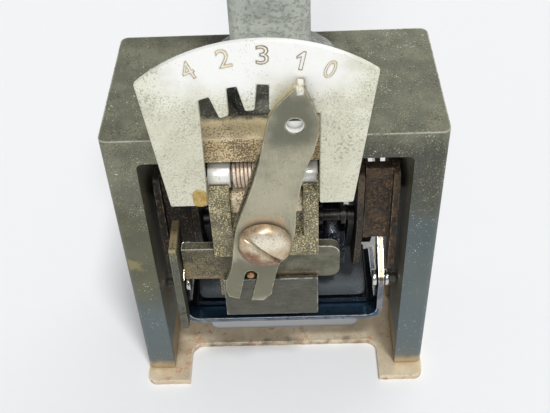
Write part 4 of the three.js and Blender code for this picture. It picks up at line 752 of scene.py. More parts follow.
def merged_copy(node: str) -> BMesh:
    """Copies a node's solid, with its corners merged and its flat faces joined.

    Args:
        node: the node's name.

    Returns:
        The copy, still being worked on.
    """
    bm = bmesh.new()
    bm.from_mesh(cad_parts[node].data)
    bmesh.ops.remove_doubles(bm, verts=bm.verts, dist=MERGE * MM)
    bmesh.ops.dissolve_limit(bm, angle_limit=math.radians(1), verts=bm.verts, edges=bm.edges)
    bmesh.ops.recalc_face_normals(bm, faces=bm.faces)
    return bm


def bevelled(bm: BMesh, edges: Sequence[bmesh.types.BMEdge], width: float, segments: int,
             **guards: bool) -> None:
    """Rounds some edges, by a width in millimetres and a number of facets."""
    bmesh.ops.bevel(bm, geom=edges, offset=width * MM, offset_type="OFFSET", segments=segments,
                    profile=0.5, affect="EDGES", material=-1, **guards)


def sharp_edges(bm: BMesh, turn: float) -> list[bmesh.types.BMEdge]:
    """Finds the edges that turn by more than some degrees."""
    limit = math.radians(turn)
    return [edge for edge in bm.edges if edge.is_manifold and edge.calc_face_angle() > limit]


def soften(bm: BMesh, width: float, segments: int = 2, turn: float = 35.0) -> None:
    """Rounds the edges that turn by more than some degrees, by a width in millimetres."""
    bevelled(bm, sharp_edges(bm, turn), width, segments, clamp_overlap=True, loop_slide=True)


def round_outline(bm: BMesh, width: float) -> None:
    """Rounds the corners of an upright plate's outline.

    Args:
        bm: the plate, whose thickness runs along Y.
        width: how wide the rounding is, in millimetres.
    """
    corners = [edge for edge in sharp_edges(bm, 14)
               if abs((edge.verts[0].co - edge.verts[1].co).normalized().y) > 0.99]
    bevelled(bm, corners, width, 3, clamp_overlap=True)


def place_at(bm: BMesh, place: Vector, turn: Matrix | None = None) -> None:
    """Turns a piece about the origin and moves it to its place, in metres."""
    bmesh.ops.rotate(bm, cent=(0, 0, 0), matrix=turn or Matrix.Identity(3), verts=bm.verts)
    bmesh.ops.translate(bm, vec=place, verts=bm.verts)


def block(size: Vector, middle: Vector, turn: Matrix | None = None) -> BMesh:
    """Makes a plain block.

    Args:
        size: its size in metres.
        middle: its middle in metres.
        turn: how it is turned.

    Returns:
        The block.
    """
    bm = bmesh.new()
    bmesh.ops.create_cube(bm, size=1.0)
    bmesh.ops.scale(bm, vec=size, verts=bm.verts)
    place_at(bm, middle, turn)
    return bm


def stepped(start: float, *steps: Point) -> list[Point]:
    """Draws the profile of a solid with round steps.

    Args:
        start: where it starts along its line, in millimetres.
        steps: the radius of each step, and where it ends.

    Returns:
        The profile, which starts and ends on the line.
    """
    profile = [(0.0, start)]
    for radius, end in steps:
        profile += [(radius, start), (radius, end)]
        start = end
    return [*profile, (0.0, start)]


def tube(inner: float, outer: float, low: float, high: float) -> list[Point]:
    """Draws the profile of a ring, from its two radii and its two ends in millimetres."""
    return [(inner, low), (outer, low), (outer, high), (inner, high), (inner, low)]


def turned(profile: Sequence[Point], centre: Vector, axis: Axis, steps: int = 48) -> BMesh:
    """Turns a profile about a line.

    Args:
        profile: radius and place along the line, in millimetres. It starts and ends on the line, or
            ends where it starts.
        centre: a place on the line, in metres.
        axis: the line's direction.
        steps: how many facets go round.

    Returns:
        The closed piece.
    """
    bm = bmesh.new()
    points = [bm.verts.new(centre + axis.value * along * MM + axis.across() * radius * MM)
              for radius, along in profile]
    lines = [bm.edges.new(pair) for pair in zip(points, points[1:])]
    bmesh.ops.spin(bm, geom=points + lines, cent=centre, axis=axis.value, angle=math.tau, steps=steps,
                   use_merge=True)
    bmesh.ops.remove_doubles(bm, verts=bm.verts, dist=MERGE / 2 * MM)
    bmesh.ops.recalc_face_normals(bm, faces=bm.faces)
    return bm


def through(points: Sequence[Point], steps: int = 6) -> list[Point]:
    """Draws a smooth line through a few points.

    Args:
        points: the points.
        steps: how many short lines join each two.

    Returns:
        The smooth line's points.
    """
    ends = [points[0], *points, points[-1]]
    smooth = [points[0]]
    for corners in zip(ends, ends[1:], ends[2:], ends[3:]):
        for step in range(1, steps + 1):
            t = step / steps
            smooth.append(tuple(
                0.5 * (2 * b + (c - a) * t + (2 * a - 5 * b + 4 * c - d) * t ** 2
                       + (3 * b - a - 3 * c + d) * t ** 3)
                for a, b, c, d in zip(*corners)))
    return smooth


def coil(centre: Vector, axis: Axis, length: float, radius: float, wire: float, turns: int) -> BMesh:
    """Winds a round wire about a line.

    Args:
        centre: where the line starts, in metres.
        axis: the line's direction.
        length: how far the middle of the wire goes along the line, in millimetres.
        radius: the radius of the turns at the middle of the wire, in millimetres.
        wire: the wire's thickness in millimetres.
        turns: how many turns the wire makes.

    Returns:
        The closed wire.
    """
    steps = turns * COIL_STEPS
    bm = bmesh.new()
    bmesh.ops.create_circle(bm, cap_ends=False, radius=wire / 2 * MM, segments=10)
    around = axis.value.cross(axis.across())
    place_at(bm, centre + axis.across() * radius * MM, Axis.Z.value.rotation_difference(around).to_matrix())
    bmesh.ops.spin(bm, geom=bm.verts[:] + bm.edges[:], cent=centre, axis=axis.value,
                   dvec=axis.value * (length / steps * MM), angle=math.tau * turns, steps=steps,
                   use_merge=False)
    bmesh.ops.holes_fill(bm, edges=[edge for edge in bm.edges if edge.is_boundary], sides=0)
    bmesh.ops.recalc_face_normals(bm, faces=bm.faces)
    return bm


def as_mesh(bm: BMesh, name: str) -> bpy.types.Mesh:
    """Turns a piece, which is used up, into a mesh.

    Args:
        bm: the piece.
        name: the mesh's name.

    Returns:
        The mesh.
    """
    mesh = bpy.data.meshes.new(name)
    bm.to_mesh(mesh)
    bm.free()
    return mesh


def shown(name: str, data: bpy.types.ID) -> bpy.types.Object:
    """Puts some data in the scene.

    Args:
        name: the object's name.
        data: its mesh, curve, lamp or camera.

    Returns:
        The object, at the origin.
    """
    made = bpy.data.objects.new(name, data)
    bpy.context.scene.collection.objects.link(made)
    return made


def piece(bm: BMesh, name: str, flat_above: float = 40.0) -> bpy.types.Object:
    """Makes a finished object of a piece, with its place in its mesh.

    Args:
        bm: the piece, which is used up.
        name: the object's name.
        flat_above: edges that turn more than this many degrees stay sharp.

    Returns:
        The object, at the origin.
    """
    limit = math.radians(flat_above)
    for edge in bm.edges:
        edge.smooth = edge.is_manifold and edge.calc_face_angle() < limit
    for face in bm.faces:
        face.smooth = True
    return shown(name, as_mesh(bm, name))


def joined(parts: Iterable[BMesh]) -> BMesh:
    """Puts several solids into one piece.

    Args:
        parts: the solids, which are used up.

    Returns:
        The piece that holds them all.
    """
    whole = bmesh.new()
    for part in parts:
        mesh = as_mesh(part, "part")
        whole.from_mesh(mesh)
        bpy.data.meshes.remove(mesh)
    return whole


def carve(made: bpy.types.Object, cutter: bpy.types.Object) -> None:
    """Cuts one piece with another, which is used up.

    Args:
        made: the piece that is cut.
        cutter: the piece that cuts.
    """
    modifier = made.modifiers.new("cut", "BOOLEAN")
    modifier.object = cutter
    modifier.operation = "DIFFERENCE"
    modifier.solver = "EXACT"
    mesh = bpy.data.meshes.new_from_object(made.evaluated_get(bpy.context.evaluated_depsgraph_get()))
    made.modifiers.clear()
    made.data = mesh
    bpy.data.objects.remove(cutter)


def lettering(character: str, line: float | None) -> bpy.types.Curve:
    """Draws one plain figure as a curve.

    Args:
        character: the figure.
        line: the thickness of its outline as a share of its height, or nothing for a solid figure.

    Returns:
        The curve, about one unit high.
    """
    if line is not None and character == "1":
        drawn = bpy.data.curves.new("figure", "CURVE")
        drawn.dimensions = "3D"
        edge = drawn.splines.new("POLY")
        edge.points.add(len(ONE_OUTLINE) - 1)
        for point, (across, up) in zip(edge.points, ONE_OUTLINE):
            point.co = (across, up, 0, 1)
        edge.use_cyclic_u = True
    else:
        drawn = bpy.data.curves.new("figure", "FONT")
        drawn.body = character
        drawn.resolution_u = 3
    if line is None:
        drawn.extrude = 0.1
    else:
        drawn.fill_mode = "FULL" if character == "1" else "NONE"
        drawn.bevel_depth = line
        drawn.bevel_resolution = 1
    return drawn


def figure(character: str, high: float, wide: float, thick: float, line: float | None = None) -> BMesh:
    """Shapes one plain figure, upright in X and Z about the origin, with its front towards -Y.

    Args:
        character: the figure.
        high: its height in millimetres.
        wide: its width in millimetres.
        thick: its thickness in millimetres.
        line: the line's width in millimetres if only its outline is drawn.

    Returns:
        The figure's solid.
    """
    share = ONE_LINE_SHARE if character == "1" else LINE_SHARE
    curve = lettering(character, None if line is None else line / high * share)
    drawn = shown("figure", curve)
    shaped = drawn.evaluated_get(bpy.context.evaluated_depsgraph_get())
    bm = bmesh.new()
    bm.from_mesh(shaped.to_mesh())
    shaped.to_mesh_clear()
    bpy.data.objects.remove(drawn)
    bpy.data.curves.remove(curve)
    low = Vector([min(vert.co[k] for vert in bm.verts) for k in range(3)])
    top = Vector([max(vert.co[k] for vert in bm.verts) for k in range(3)])
    bmesh.ops.translate(bm, vec=-(low + top) / 2, verts=bm.verts)
    sizes = Vector((wide, high, thick)) * MM
    bmesh.ops.scale(bm, vec=[sizes[k] / (top[k] - low[k]) for k in range(3)], verts=bm.verts)
    bmesh.ops.rotate(bm, cent=(0, 0, 0), matrix=Matrix.Rotation(math.pi / 2, 3, "X"), verts=bm.verts)
    bmesh.ops.remove_doubles(bm, verts=bm.verts, dist=MERGE * MM)
    bmesh.ops.recalc_face_normals(bm, faces=bm.faces)
    return bm


@dataclass
class SubAssembly:
    """A group of pieces that belong together."""

    body: Body = Body.STAND

    def dress(self, made: bpy.types.Object, finish: Finish, nodes: Sequence[str] = (),
              body: str | None = None, slot: Slot | None = None) -> bpy.types.Object:
        """Gives a new piece its finish, its body and the nodes that it stands for.

        Args:
            made: the piece.
            finish: its finish.
            nodes: the nodes that it replaces.
            body: the body that it rides on, if not the assembly's own.
            slot: not used.

        Returns:
            The piece.
        """
        made.data.materials.clear()
        made.data.materials.append(tone(finish))
        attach(made, str(body or self.body))
        if nodes:
            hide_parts(*nodes)
        log.info("%s: %d faces, %s", made.name, len(made.data.polygons), finish.name)
        return made

    def softened(self, node: str, width: float, finish: Finish, body: str | None = None,
                 segments: int = 2, corner: float = 0.0, slot: Slot | None = None) -> None:
        """Makes a copy of a node with rounded edges, and dresses it.

        Args:
            node: the node's name.
            width: how wide the rounding is, in millimetres.
            finish: the finish.
            body: the body, if not the assembly's own.
            segments: how many facets the rounding has.
            corner: how wide the rounding of a plate's outline is, in millimetres.
            slot: handed on to dress, which does not use it.
        """
        bm = merged_copy(node)
        if corner:
            round_outline(bm, corner)
        soften(bm, width, segments)
        made = piece(bm, f"soft_{node}")
        made.modifiers.new("even_normals", "WEIGHTED_NORMAL").keep_sharp = True
        self.dress(made, finish, [node], body, slot)

    def kept(self, node: str, finish: Finish) -> None:
        """Gives a node that stays as it is a better material.

        Args:
            node: the node's name.
            finish: the finish.
        """
        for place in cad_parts[node].material_slots:
            place.material = tone(finish)
        log.info("%s: kept, %s", node, finish.name)


@dataclass
class Stand(SubAssembly):
    """The cast stand and the base plate under it."""

    edge: float = 0.7
    plate_edge: float = 0.35

    def build(self) -> None:
        """Builds and dresses the stand, the base plate and its screws."""
        self.softened("frame", self.edge, CASTING, segments=3)
        self.softened("base_plate", self.plate_edge, TIN)
        for place in ("front_left", "front_right", "back_left", "back_right"):
            self.softened(f"base_screw_{place}", SMALL_EDGE, BRIGHT)


@dataclass
class SpringBarrel(SubAssembly):
    """The rough cast barrel on the stand, with what it holds."""

    edge: float = 0.5
    stroke: float = 18.8
    wire: float = 1.0
    coil_radius: float = 4.15
    coils: int = 8

    def build(self) -> None:
        """Builds and dresses the barrel, its screws, the bush and the spring."""
        self.softened("spring_barrel", self.edge, NECK)
        for side in SIDES:
            self.softened(f"barrel_screw_{side}", SMALL_EDGE, BRIGHT)
        self.kept("rod_bush", BRASS)
        self.spring()

    def spring(self) -> None:
        """Winds the return spring as one rigid piece on the plunger; the real spring is pressed together as
        the plunger goes down.
        """
        low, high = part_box("return_spring")
        middle = (low + high) / 2
        start = Vector((middle.x, middle.y, low.z + self.wire / 2 * MM))
        length = (high.z - low.z) / MM
        wound = coil(start, Axis.Z, length - self.wire, self.coil_radius, self.wire, self.coils)
        made = self.dress(piece(wound, "pressed_spring"), BRIGHT, ["return_spring"], Body.PLUNGER)
        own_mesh(made)


@dataclass
class Handle(SubAssembly):
    """The plunger rod with its nut, ferrule and turned knob."""

    body: Body = Body.PLUNGER
    edge: float = 0.3
    rod_radius: float = 3.0
    play: float = 0.3
    collar_radius: float = 4.6
    collar_high: float = 2.0
    collar_drop: float = 2.5
    ferrule_radius: float = 8.6
    waist_radius: float = 6.1
    knob_radius: float = 17.5
    neck_radius: float = 9.5
    bore_depth: float = 14.0
    bead: float = 0.5
    knob_edge: float = 0.4
    side: tuple[Point, ...] = ((0, 0), (0.06, 0.12), (0.4, 0.28), (0.8, 0.45), (0.97, 0.6), (1, 0.74))
    crown: tuple[Point, ...] = ((0.945, 0.86), (0.835, 0.94), (0.62, 0.985), (0.35, 1))

    def build(self) -> None:
        """Builds and dresses the rod, the nut, the ferrule and the knob."""
        line = spot(0, PLUNGER_MIDDLE, 0)
        low, high = self.heights("plunger_rod")
        rod = turned(stepped(low, (self.rod_radius, high)), line, Axis.Z)
        soften(rod, self.edge)
        top = self.heights("spring_barrel")[1] - self.collar_drop
        sunk = self.rod_radius - self.play
        collar = turned(tube(sunk, self.collar_radius, top - self.collar_high, top), line, Axis.Z)
        self.dress(piece(joined([rod, collar]), "rod"), BRIGHT, ["plunger_rod"])
        self.softened("rod_nut", self.edge, GRIMY)
        low, high = self.heights("handle_ferrule")
        shoulder = low + (high - low) / 3
        bore = self.rod_radius + self.play
        ring = turned([(bore, low), (self.waist_radius, low), (self.ferrule_radius, shoulder),
                       (self.ferrule_radius, high), (bore, high), (bore, low)], line, Axis.Z, 64)
        soften(ring, self.bead, 3)
        self.dress(piece(ring, "ferrule"), BRIGHT, ["handle_ferrule"])
        low, high = self.heights("handle")
        rise, swell, deep = high - low, self.knob_radius - self.neck_radius, low + self.bore_depth
        side = [(self.neck_radius + swell * out, low + rise * up) for out, up in self.side]
        crown = [(self.knob_radius * out, low + rise * up) for out, up in self.crown]
        knob = turned([(0, deep), (bore, deep), (bore, low), *through(side + crown), (0, high)],
                      line, Axis.Z, 72)
        soften(knob, self.knob_edge, 2, 50)
        self.dress(piece(knob, "knob"), HANDLE_BLACK, ["handle"])

    def heights(self, node: str) -> Point:
        """Gives a node's lowest and highest place above the base plate, in millimetres."""
        low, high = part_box(node)
        return (low.z - STAND_LOW.z) / MM, (high.z - STAND_LOW.z) / MM


@dataclass
class Carriage(SubAssembly):
    """The crosshead, the cheeks and the slides that run in the stand."""

    body: Body = Body.PLUNGER
    edge: float = 0.3
    crosshead_edge: float = 0.5

    def build(self) -> None:
        """Builds and dresses the carriage."""
        self.softened("crosshead", self.crosshead_edge, RUSTY)
        for side in SIDES:
            self.softened(f"cheek_{side}", self.edge, CHEEK)
            self.softened(f"side_slide_{side}", self.edge, RUSTY)
            self.softened(f"slide_screw_{side}", SMALL_EDGE, BRIGHT)


@dataclass
class NumberWheels(SubAssembly):
    """The six type wheels on their shaft: drums with raised figures, and ratchets beside them."""

    count: int = 6
    pitch: float = 4.65
    width: float = 4.35
    gap: float = 1.2
    half: float = 13.8
    drum_radius: float = 9.7
    relief: float = 0.8
    sunk: float = 0.2
    figure_high: float = 3.2
    figure_wide: float = 2.1
    ratchet_width: float = 0.9
    ratchet_sunk: float = 0.6
    ratchet_radius: float = 8.2
    ratchet_root: float = 6.8
    ratchet_play: float = 0.1
    tooth_lean: float = 0.9
    bore: float = 2.8
    height: float = 27.8
    shaft_radius: float = 2.5
    shaft_half: float = 20.3
    edge: float = 0.3
    figures: str = "0123456789"

    def build(self) -> None:
        """Builds and dresses the wheels, the shaft and its nuts."""
        shapes = [figure(character, self.figure_high, self.figure_wide, self.relief + self.sunk)
                  for character in self.figures]
        for number in range(self.count):
            left = -self.half + number * self.pitch
            wheel = joined([self.drum(left), self.ratchet(left), *self.type_of(left, shapes)])
            name = f"number_wheel_{number + 1}"
            self.dress(piece(wheel, f"{name}_figures"), INKY, [f"type_wheel_{number + 1}"], name)
        for shape in shapes:
            shape.free()
        axle = turned(stepped(-self.shaft_half, (self.shaft_radius, self.shaft_half)), self.centre(0), Axis.X)
        soften(axle, self.edge)
        self.dress(piece(axle, "shaft"), BRIGHT, ["wheel_shaft"], Body.PLUNGER)
        for side in SIDES:
            self.softened(f"shaft_nut_{side}", self.edge, INNER, Body.PLUNGER)

    def centre(self, x: float) -> Vector:
        """Gives the place on the wheels' axis at x millimetres from the middle."""
        return spot(x, PLUNGER_MIDDLE, self.height)

    def drum(self, left: float) -> BMesh:
        """Makes a wheel's drum, with a flat side for each figure and a bore.

        Args:
            left: the drum's left face in millimetres.

        Returns:
            The drum.
        """
        sides = len(self.figures)
        half_turn = math.pi / sides
        outer, inner = (radius / math.cos(half_turn) for radius in (self.drum_radius, self.bore))
        ring = turned(tube(inner, outer, left, left + self.width - self.gap), self.centre(0), Axis.X, sides)
        turn = Matrix.Rotation(half_turn, 3, "X")
        bmesh.ops.rotate(ring, cent=self.centre(0), matrix=turn, verts=ring.verts)
        soften(ring, SMALL_EDGE, 1, 30)
        return ring

    def ratchet(self, left: float) -> BMesh:
        """Makes a wheel's ratchet, with a saw tooth for each figure.

        Args:
            left: the drum's left face in millimetres.

        Returns:
            The ratchet.
        """
        steps = 2 * len(self.figures)
        end = left + self.width
        start = end - self.ratchet_width - self.ratchet_sunk
        middle = self.centre(0)
        profile = tube(self.bore + self.ratchet_play, self.ratchet_radius, start, end)
        ring = turned(profile, middle, Axis.X, steps)
        share = self.ratchet_root / self.ratchet_radius
        for vert in ring.verts:
            offset = vert.co - middle
            reach = math.hypot(offset.y, offset.z)
            turn = math.atan2(offset.z, offset.y)
            if reach > self.bore * 2 * MM and round(turn / (math.tau / steps)) % 2:
                lean = turn - math.tau / steps * self.tooth_lean
                vert.co.y = middle.y + reach * share * math.cos(lean)
                vert.co.z = middle.z + reach * share * math.sin(lean)
        bmesh.ops.recalc_face_normals(ring, faces=ring.faces)
        return ring

    def type_of(self, left: float, shapes: Sequence[BMesh]) -> list[BMesh]:
        """Sets a wheel's raised figures round its drum, mirrored as type is.

        Args:
            left: the drum's left face in millimetres.
            shapes: the figures.

        Returns:
            The figures in their places.
        """
        middle = self.centre(left + (self.width - self.gap) / 2)
        reach = (self.drum_radius + self.relief / 2 - self.sunk / 2) * MM
        placed = []
        for digit, shape in enumerate(shapes):
            copy = shape.copy()
            bmesh.ops.scale(copy, vec=(-1, 1, 1), verts=copy.verts)
            bmesh.ops.translate(copy, vec=(0, -reach, 0), verts=copy.verts)
            place_at(copy, middle, Matrix.Rotation(digit * math.tau / len(shapes) + math.pi / 2, 3, "X"))
            bmesh.ops.recalc_face_normals(copy, faces=copy.faces)
            placed.append(copy)
        return placed


@dataclass
class FeedWorks(SubAssembly):
    """The rocker, its pawls and the detents that step the wheels on."""

    body: Body = Body.FEED
    edge: float = 0.25
    thin_edge: float = 0.12
    pawls: int = 6

    def build(self) -> None:
        """Builds and dresses the feed works."""
        self.softened("feed_rocker", self.edge, INNER, slot=Slot.RUSTY_STEEL)
        for number in range(self.pawls):
            self.softened(f"feed_pawl_{number + 1}", self.thin_edge, INNER)
        self.softened("detent_comb", self.thin_edge, INNER, Body.PLUNGER)


@dataclass
class FrontBracket(SubAssembly):
    """The bracket on the carriage's front, its lower plate and the cross bar with its spring."""

    body: Body = Body.PLUNGER
    edge: float = 0.3
    plate_edge: float = 0.25
    bar_edge: float = 0.35
    bar_y: float = 1.9
    bar_z: float = 56.8
    bar_radius: float = 2.6
    core_radius: float = 1.5
    left: float = -12.4
    right: float = 7.7
    left_shoulder: float = -8.2
    right_shoulder: float = 4.6
    wire: float = 0.7
    coil_radius: float = 2.25
    coils: int = 16

    def build(self) -> None:
        """Builds and dresses the bracket, the lower plate, the cross bar and the wound spring."""
        self.softened("front_bracket", self.edge, BRACKET)
        self.softened("lower_plate", self.plate_edge, LOWER)
        start = spot(0, self.bar_y, self.bar_z)
        bar = turned(stepped(self.left, (self.bar_radius, self.left_shoulder),
                             (self.core_radius, self.right_shoulder), (self.bar_radius, self.right)),
                     start, Axis.X)
        soften(bar, self.bar_edge, 3)
        self.dress(piece(bar, "round_cross_bar"), GLARE_WHITE_STEEL, ["cross_bar"])
        low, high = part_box("wound_spring")
        start.x = low.x + self.wire / 2 * MM
        length = (high.x - low.x) / MM - self.wire
        wound = coil(start, Axis.X, length, self.coil_radius, self.wire, self.coils)
        self.dress(piece(wound, "round_wire_spring"), COIL, ["wound_spring"])


@dataclass
class SlideBar(SubAssembly):
    """The slide bar behind the bracket, its pin and the upright plate at its left end."""

    body: Body = Body.SLIDER
    edge: float = 0.3
    upright_edge: float = 0.25
    pin_edge: float = 0.35
    pin_radius: float = 0.8

    def build(self) -> None:
        """Builds and dresses the slide bar, the pin and the upright."""
        self.softened("slide_bar", self.edge, BAR_STEEL)
        self.softened("slide_bar_upright", self.upright_edge, UPRIGHT)
        low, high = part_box("slide_bar_pin")
        half = (high.y - low.y) / 2 / MM
        pin = turned(stepped(-half, (self.pin_radius, half)), (low + high) / 2, Axis.Y, 32)
        soften(pin, self.pin_edge, 3)
        self.dress(piece(pin, "round_pin"), PIN_COPPER, ["slide_bar_pin"])


@dataclass(frozen=True)
class DialFigure:
    """One stamped figure on the dial."""

    character: str
    x: float
    z: float
    wide: float
    finish: Metal = FIGURE_PALE


@dataclass
class Dial(SubAssembly):
    """The arched dial plate with its stamped figures and a spot of brass solder."""

    body: Body = Body.PLUNGER
    edge: float = 0.35
    front: float = -5.0
    arc_x: float = -1.4
    arc_z: float = 57.9
    figure_high: float = 3.5
    figure_thick: float = 0.12
    figure_proud: float = 0.03
    line: float = 0.17
    figures: tuple[DialFigure, ...] = (
        DialFigure("4", -12.8, 84.4, 2.1), DialFigure("2", -7.0, 86.5, 2.2),
        DialFigure("3", -1.0, 86.9, 2.1, FIGURE_BROWN), DialFigure("1", 4.8, 85.7, 1.4, FIGURE_BROWN),
        DialFigure("0", 9.5, 83.9, 1.8))
    solder_size: Place = (2.5, 0.5, 3.9)
    solder_x: float = -13.45
    solder_z: float = 57.3
    solder_sunk: float = 0.02
    solder_corner: float = 1.1
    solder_edge: float = 0.2

    def build(self) -> None:
        """Builds and dresses the plate, its figures and the solder spot."""
        self.softened("dial_plate", self.edge, DIAL_PLATE)
        for stamped in self.figures:
            bm = figure(stamped.character, self.figure_high, stamped.wide, self.figure_thick, self.line)
            lean = math.atan2(stamped.x - self.arc_x, stamped.z - self.arc_z)
            place_at(bm, spot(stamped.x, self.front - self.figure_proud, stamped.z),
                     Matrix.Rotation(lean, 3, "Y"))
            self.dress(piece(bm, f"dial_figure_{stamped.character}"), stamped.finish)
        drop = block(Vector(self.solder_size) * MM,
                     spot(self.solder_x, self.front + self.solder_sunk, self.solder_z))
        corners = [edge for edge in drop.edges
                   if abs(edge.verts[0].co.y - edge.verts[1].co.y) > self.solder_size[1] / 2 * MM]
        bevelled(drop, corners, self.solder_corner, 4)
        soften(drop, self.solder_edge, 3)
        self.dress(piece(drop, "solder_spot"), SOLDER)


@dataclass
class Selector(SubAssembly):
    """The selector lever, the leaf behind it and the slotted pivot screw."""

    body: Body = Body.SELECTOR
    edge: float = 0.32
    corner: float = 0.5
    pivot_x: float = -2.3
    pivot_z: float = 48.4
    dome: tuple[Point, ...] = ((0, 0), (1.4, 0.06), (2.6, 0.24), (3.7, 0.62), (4.5, 1.15), (4.9, 1.9))
    head_radius: float = 4.9
    head_low: float = -7.7
    head_face: float = -10.65
    head_bevel: float = 0.2
    shank_radius: float = 2.2
    shank_end: float = 3.0
    slot_width: float = 1.1
    slot_depth: float = 1.2
    slot_turn: float = 45.0
    turn: float = 12.0
    eye_side: float = 0.4
    eye_reach: float = 27.1
    cup_radius: float = 1.57
    cup_bore: float = 1.38
    cup_rim: float = -7.3
    cup_floor: float = -6.25
    cup_back: float = -6.1
    cup_edge: float = 0.08

    def build(self) -> None:
        """Builds and dresses the lever, the leaf, the cup in the lever's eye and the screw."""
        self.softened("selector_lever", self.edge, LEVER, segments=3, corner=self.corner)
        self.softened("lever_leaf", SMALL_EDGE, GRIMY)
        self.dress(self.eye_cup(), EYE_STEEL)
        self.dress(self.screw(), SCREW, ["pivot_screw"], Body.PLUNGER)

    def eye_cup(self) -> bpy.types.Object:
        """Turns the bright cup that lines the lever's eye.

        Returns:
            The cup.
        """
        sine, cosine = math.sin(math.radians(self.turn)), math.cos(math.radians(self.turn))
        centre = spot(self.pivot_x + self.eye_reach * sine + self.eye_side * cosine, 0,
                      self.pivot_z + self.eye_reach * cosine - self.eye_side * sine)
        profile = stepped(self.cup_floor, (self.cup_bore, self.cup_rim), (self.cup_radius, self.cup_back))
        bm = turned(profile, centre, Axis.Y)
        soften(bm, self.cup_edge)
        return piece(bm, "eye_cup")

    def screw(self) -> bpy.types.Object:
        """Turns the screw with its domed head and cuts the slot.

        Returns:
            The screw.
        """
        centre = spot(self.pivot_x, 0, self.pivot_z)
        dome = [(radius, self.head_face + drop) for radius, drop in self.dome]
        profile = [*through(dome, 4), (self.head_radius, self.head_low - self.head_bevel),
                   (self.head_radius - self.head_bevel, self.head_low), (self.shank_radius, self.head_low),
                   (self.shank_radius, self.shank_end), (0, self.shank_end)]
        head = piece(turned(profile, centre, Axis.Y, 72), "slotted_screw")
        size = Vector((self.head_radius * 3, self.slot_depth * 2, self.slot_width)) * MM
        cutter = block(size, centre + Axis.Y.value * self.head_face * MM,
                       Matrix.Rotation(math.radians(self.slot_turn), 3, "Y"))
        carve(head, piece(cutter, "slot_cutter"))
        return head


@dataclass
class InkWorks(SubAssembly):
    """The bail that swings the ink pad, its pivots and studs, the tray and the felt."""

    body: Body = Body.INKER
    edge: float = 0.25
    pivot_edge: float = 0.2
    stud_y: float = 6.8
    stud_z: float = 21.7
    stud_radius: float = 1.1
    stud_inner: float = 20.5
    stud_outer: float = 22.3
    stud_end: float = 24.7
    boss_radius: float = 1.8
    boss_height: float = 0.9
    pad_edge: float = 1.5
    pad_crown: float = 0.35
    pad_cuts: int = 14
    longest: float = 3.0
    ripple_x: float = 900
    ripple_y: float = 1100
    ripple_shift: float = 0.7
    ripple_depth: float = 0.06

    def build(self) -> None:
        """Builds and dresses the bail, its pivots and studs, the tray and the pad."""
        self.softened("ink_bail", self.edge, BAIL_CHROME)
        profile = stepped(
            self.stud_inner - self.boss_height, (self.boss_radius, self.stud_inner),
            (self.stud_radius, self.stud_outer), (self.boss_radius, self.stud_outer + self.boss_height),
            (self.stud_radius, self.stud_end))
        for name, side in zip(SIDES, (-1, 1)):
            self.softened(f"ink_pivot_{name}", self.pivot_edge, BRIGHT, Body.STAND)
            stud = turned([(radius, side * place) for radius, place in profile],
                          spot(0, self.stud_y, self.stud_z), Axis.X, 32)
            soften(stud, SMALL_EDGE)
            self.dress(piece(stud, f"round_stud_{name}"), BRIGHT, [f"ink_stud_{name}"])
        self.softened("pad_tray", SMALL_EDGE, INKY)
        felt = self.dress(self.pad(), PAD_FELT, ["ink_pad"])

    def pad(self) -> bpy.types.Object:
        """Shapes the felt pad: rounded along its top, crowned and a little uneven.

        Returns:
            The pad.
        """
        low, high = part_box("ink_pad")
        middle, size = (low + high) / 2, high - low
        bm = block(size, middle)
        upper = [edge for edge in bm.edges if all(vert.co.z > middle.z for vert in edge.verts)]
        bevelled(bm, upper, self.pad_edge, 4)
        long_edges = [edge for edge in bm.edges if edge.calc_length() > self.longest * MM]
        bmesh.ops.subdivide_edges(bm, edges=long_edges, cuts=self.pad_cuts, use_grid_fill=True)
        for vert in bm.verts:
            across = (vert.co.x - middle.x) / (size.x / 2)
            along = (vert.co.y - middle.y) / (size.y / 2)
            raised = max(0.0, (vert.co.z - middle.z) / (size.z / 2))
            vert.co.z -= raised * self.pad_crown * MM * (across ** 4 + along ** 4) / 2
            ripple = (math.sin(vert.co.x * self.ripple_x)
                      * math.sin(vert.co.y * self.ripple_y + self.ripple_shift))
            vert.co.z -= raised * self.ripple_depth * MM * (1 + ripple)
        made = piece(bm, "felt_pad")
        smoothing = made.modifiers.new("smooth", "SUBSURF")
        smoothing.levels = 1
        smoothing.render_levels = 1
        return made


@dataclass(frozen=True)
class Sun:
    """One distant soft lamp."""

    name: str
    comes_from: Place
    strength: float
    spread: float

    def shine(self) -> None:
        """Hangs the lamp, which shines alike everywhere."""
        data = bpy.data.lights.new(self.name, "SUN")
        data.energy = self.strength
        data.angle = math.radians(self.spread)
        lamp = shown(self.name, data)
        lamp.rotation_euler = (-Vector(self.comes_from)).to_track_quat("-Z", "Y").to_euler()


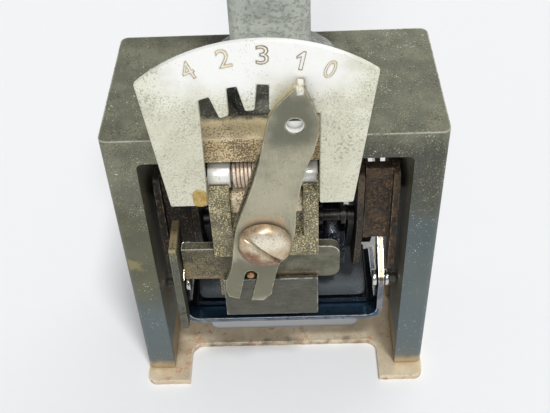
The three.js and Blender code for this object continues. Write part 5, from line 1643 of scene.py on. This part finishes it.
@dataclass
class Studio:
    """The camera, the plain pale floor and the soft light."""

    eye: Place = (3.428, -114.398, 158.660)
    yaw: float = -1.896
    pitch: float = 43.495
    roll: float = -2.886
    lens: float = 55.03
    sensor: float = 36
    nearest: float = 0.005
    world_light: float = 0.32
    backdrop_light: float = 0.88
    world_colour: tuple[float, ...] = (0.96, 0.98, 1.0, 1.0)
    floor_half: float = 6.0
    floor_colour: Colour = (232, 233, 234)
    floor_shade: Colour = (214, 216, 218)
    floor_grain: float = 3.0
    floor_strength: float = 0.1
    floor_roughness: float = 0.85
    floor_relief: float = 0.02
    suns: tuple[Sun, ...] = (
        Sun("key_light", (0.18, -0.36, 0.92), 1.7, 9),
        Sun("front_light", (-0.04, -0.7, 0.71), 1.0, 14),
        Sun("back_light", (0.5, 0.7, 0.5), 0.6, 60))

    def build(self) -> None:
        """Sets up the camera, the lamps, the world and the floor."""
        self.camera()
        for sun in self.suns:
            sun.shine()
        self.world()
        self.floor()

    def camera(self) -> None:
        """Puts the camera where the photograph was taken from."""
        yaw, pitch, roll = (math.radians(angle) for angle in (self.yaw, self.pitch, self.roll))
        ahead = Vector((math.sin(yaw) * math.cos(pitch), math.cos(yaw) * math.cos(pitch), -math.sin(pitch)))
        level = Vector((math.cos(yaw), -math.sin(yaw), 0))
        upright = level.cross(ahead)
        right = level * math.cos(roll) + upright * math.sin(roll)
        up = upright * math.cos(roll) - level * math.sin(roll)
        data = bpy.data.cameras.new("photo_camera")
        data.sensor_width = self.sensor
        data.sensor_fit = "HORIZONTAL"
        data.lens = self.lens
        data.clip_start = self.nearest
        camera = shown("photo_camera", data)
        turn = Matrix((right, up, -ahead)).transposed().to_4x4()
        camera.matrix_world = Matrix.Translation(spot(*self.eye)) @ turn
        bpy.context.scene.camera = camera

    def world(self) -> None:
        """Gives the room an even light, and a pale wall where the camera or a clear piece sees it."""
        world = bpy.data.worlds.new("pale_room")
        bpy.context.scene.world = world
        world.use_nodes = True
        nodes, links = world.node_tree.nodes, world.node_tree.links
        path = nodes.new("ShaderNodeLightPath")
        seen = nodes.new("ShaderNodeMath")
        seen.operation = "MAXIMUM"
        links.new(path.outputs["Is Camera Ray"], seen.inputs[0])
        links.new(path.outputs["Is Transmission Ray"], seen.inputs[1])
        strength = nodes.new("ShaderNodeMapRange")
        links.new(seen.outputs[0], strength.inputs["Value"])
        strength.inputs["To Min"].default_value = self.world_light
        strength.inputs["To Max"].default_value = self.backdrop_light
        background = nodes["Background"]
        background.inputs["Color"].default_value = self.world_colour
        links.new(strength.outputs["Result"], background.inputs["Strength"])

    def floor(self) -> None:
        """Lays the plain pale floor."""
        bm = bmesh.new()
        bmesh.ops.create_grid(bm, x_segments=1, y_segments=1, size=self.floor_half)
        floor = shown("floor", as_mesh(bm, "floor"))
        sheet = NodeSheet("floor_paper")
        grain = sheet.noise(self.floor_grain)
        colour = sheet.tint(screen(self.floor_colour), grain, self.floor_strength, self.floor_shade)
        paper = sheet.surface(colour, self.floor_roughness, 0.0, grain, self.floor_relief)
        floor.data.materials.append(paper)


def main() -> None:
    """Builds the sub-assemblies in order, then the studio."""
    logging.basicConfig(level=logging.INFO, format="%(name)s: %(message)s")
    bpy.context.scene.view_settings.view_transform = "Standard"
    for assembly in (Stand, SpringBarrel, Handle, Carriage, NumberWheels, FeedWorks, FrontBracket,
                     SlideBar, Dial, Selector, InkWorks):
        log.info("building %s", assembly.__name__)
        assembly().build()
    Studio().build()


if __name__ == "__main__":
    main()
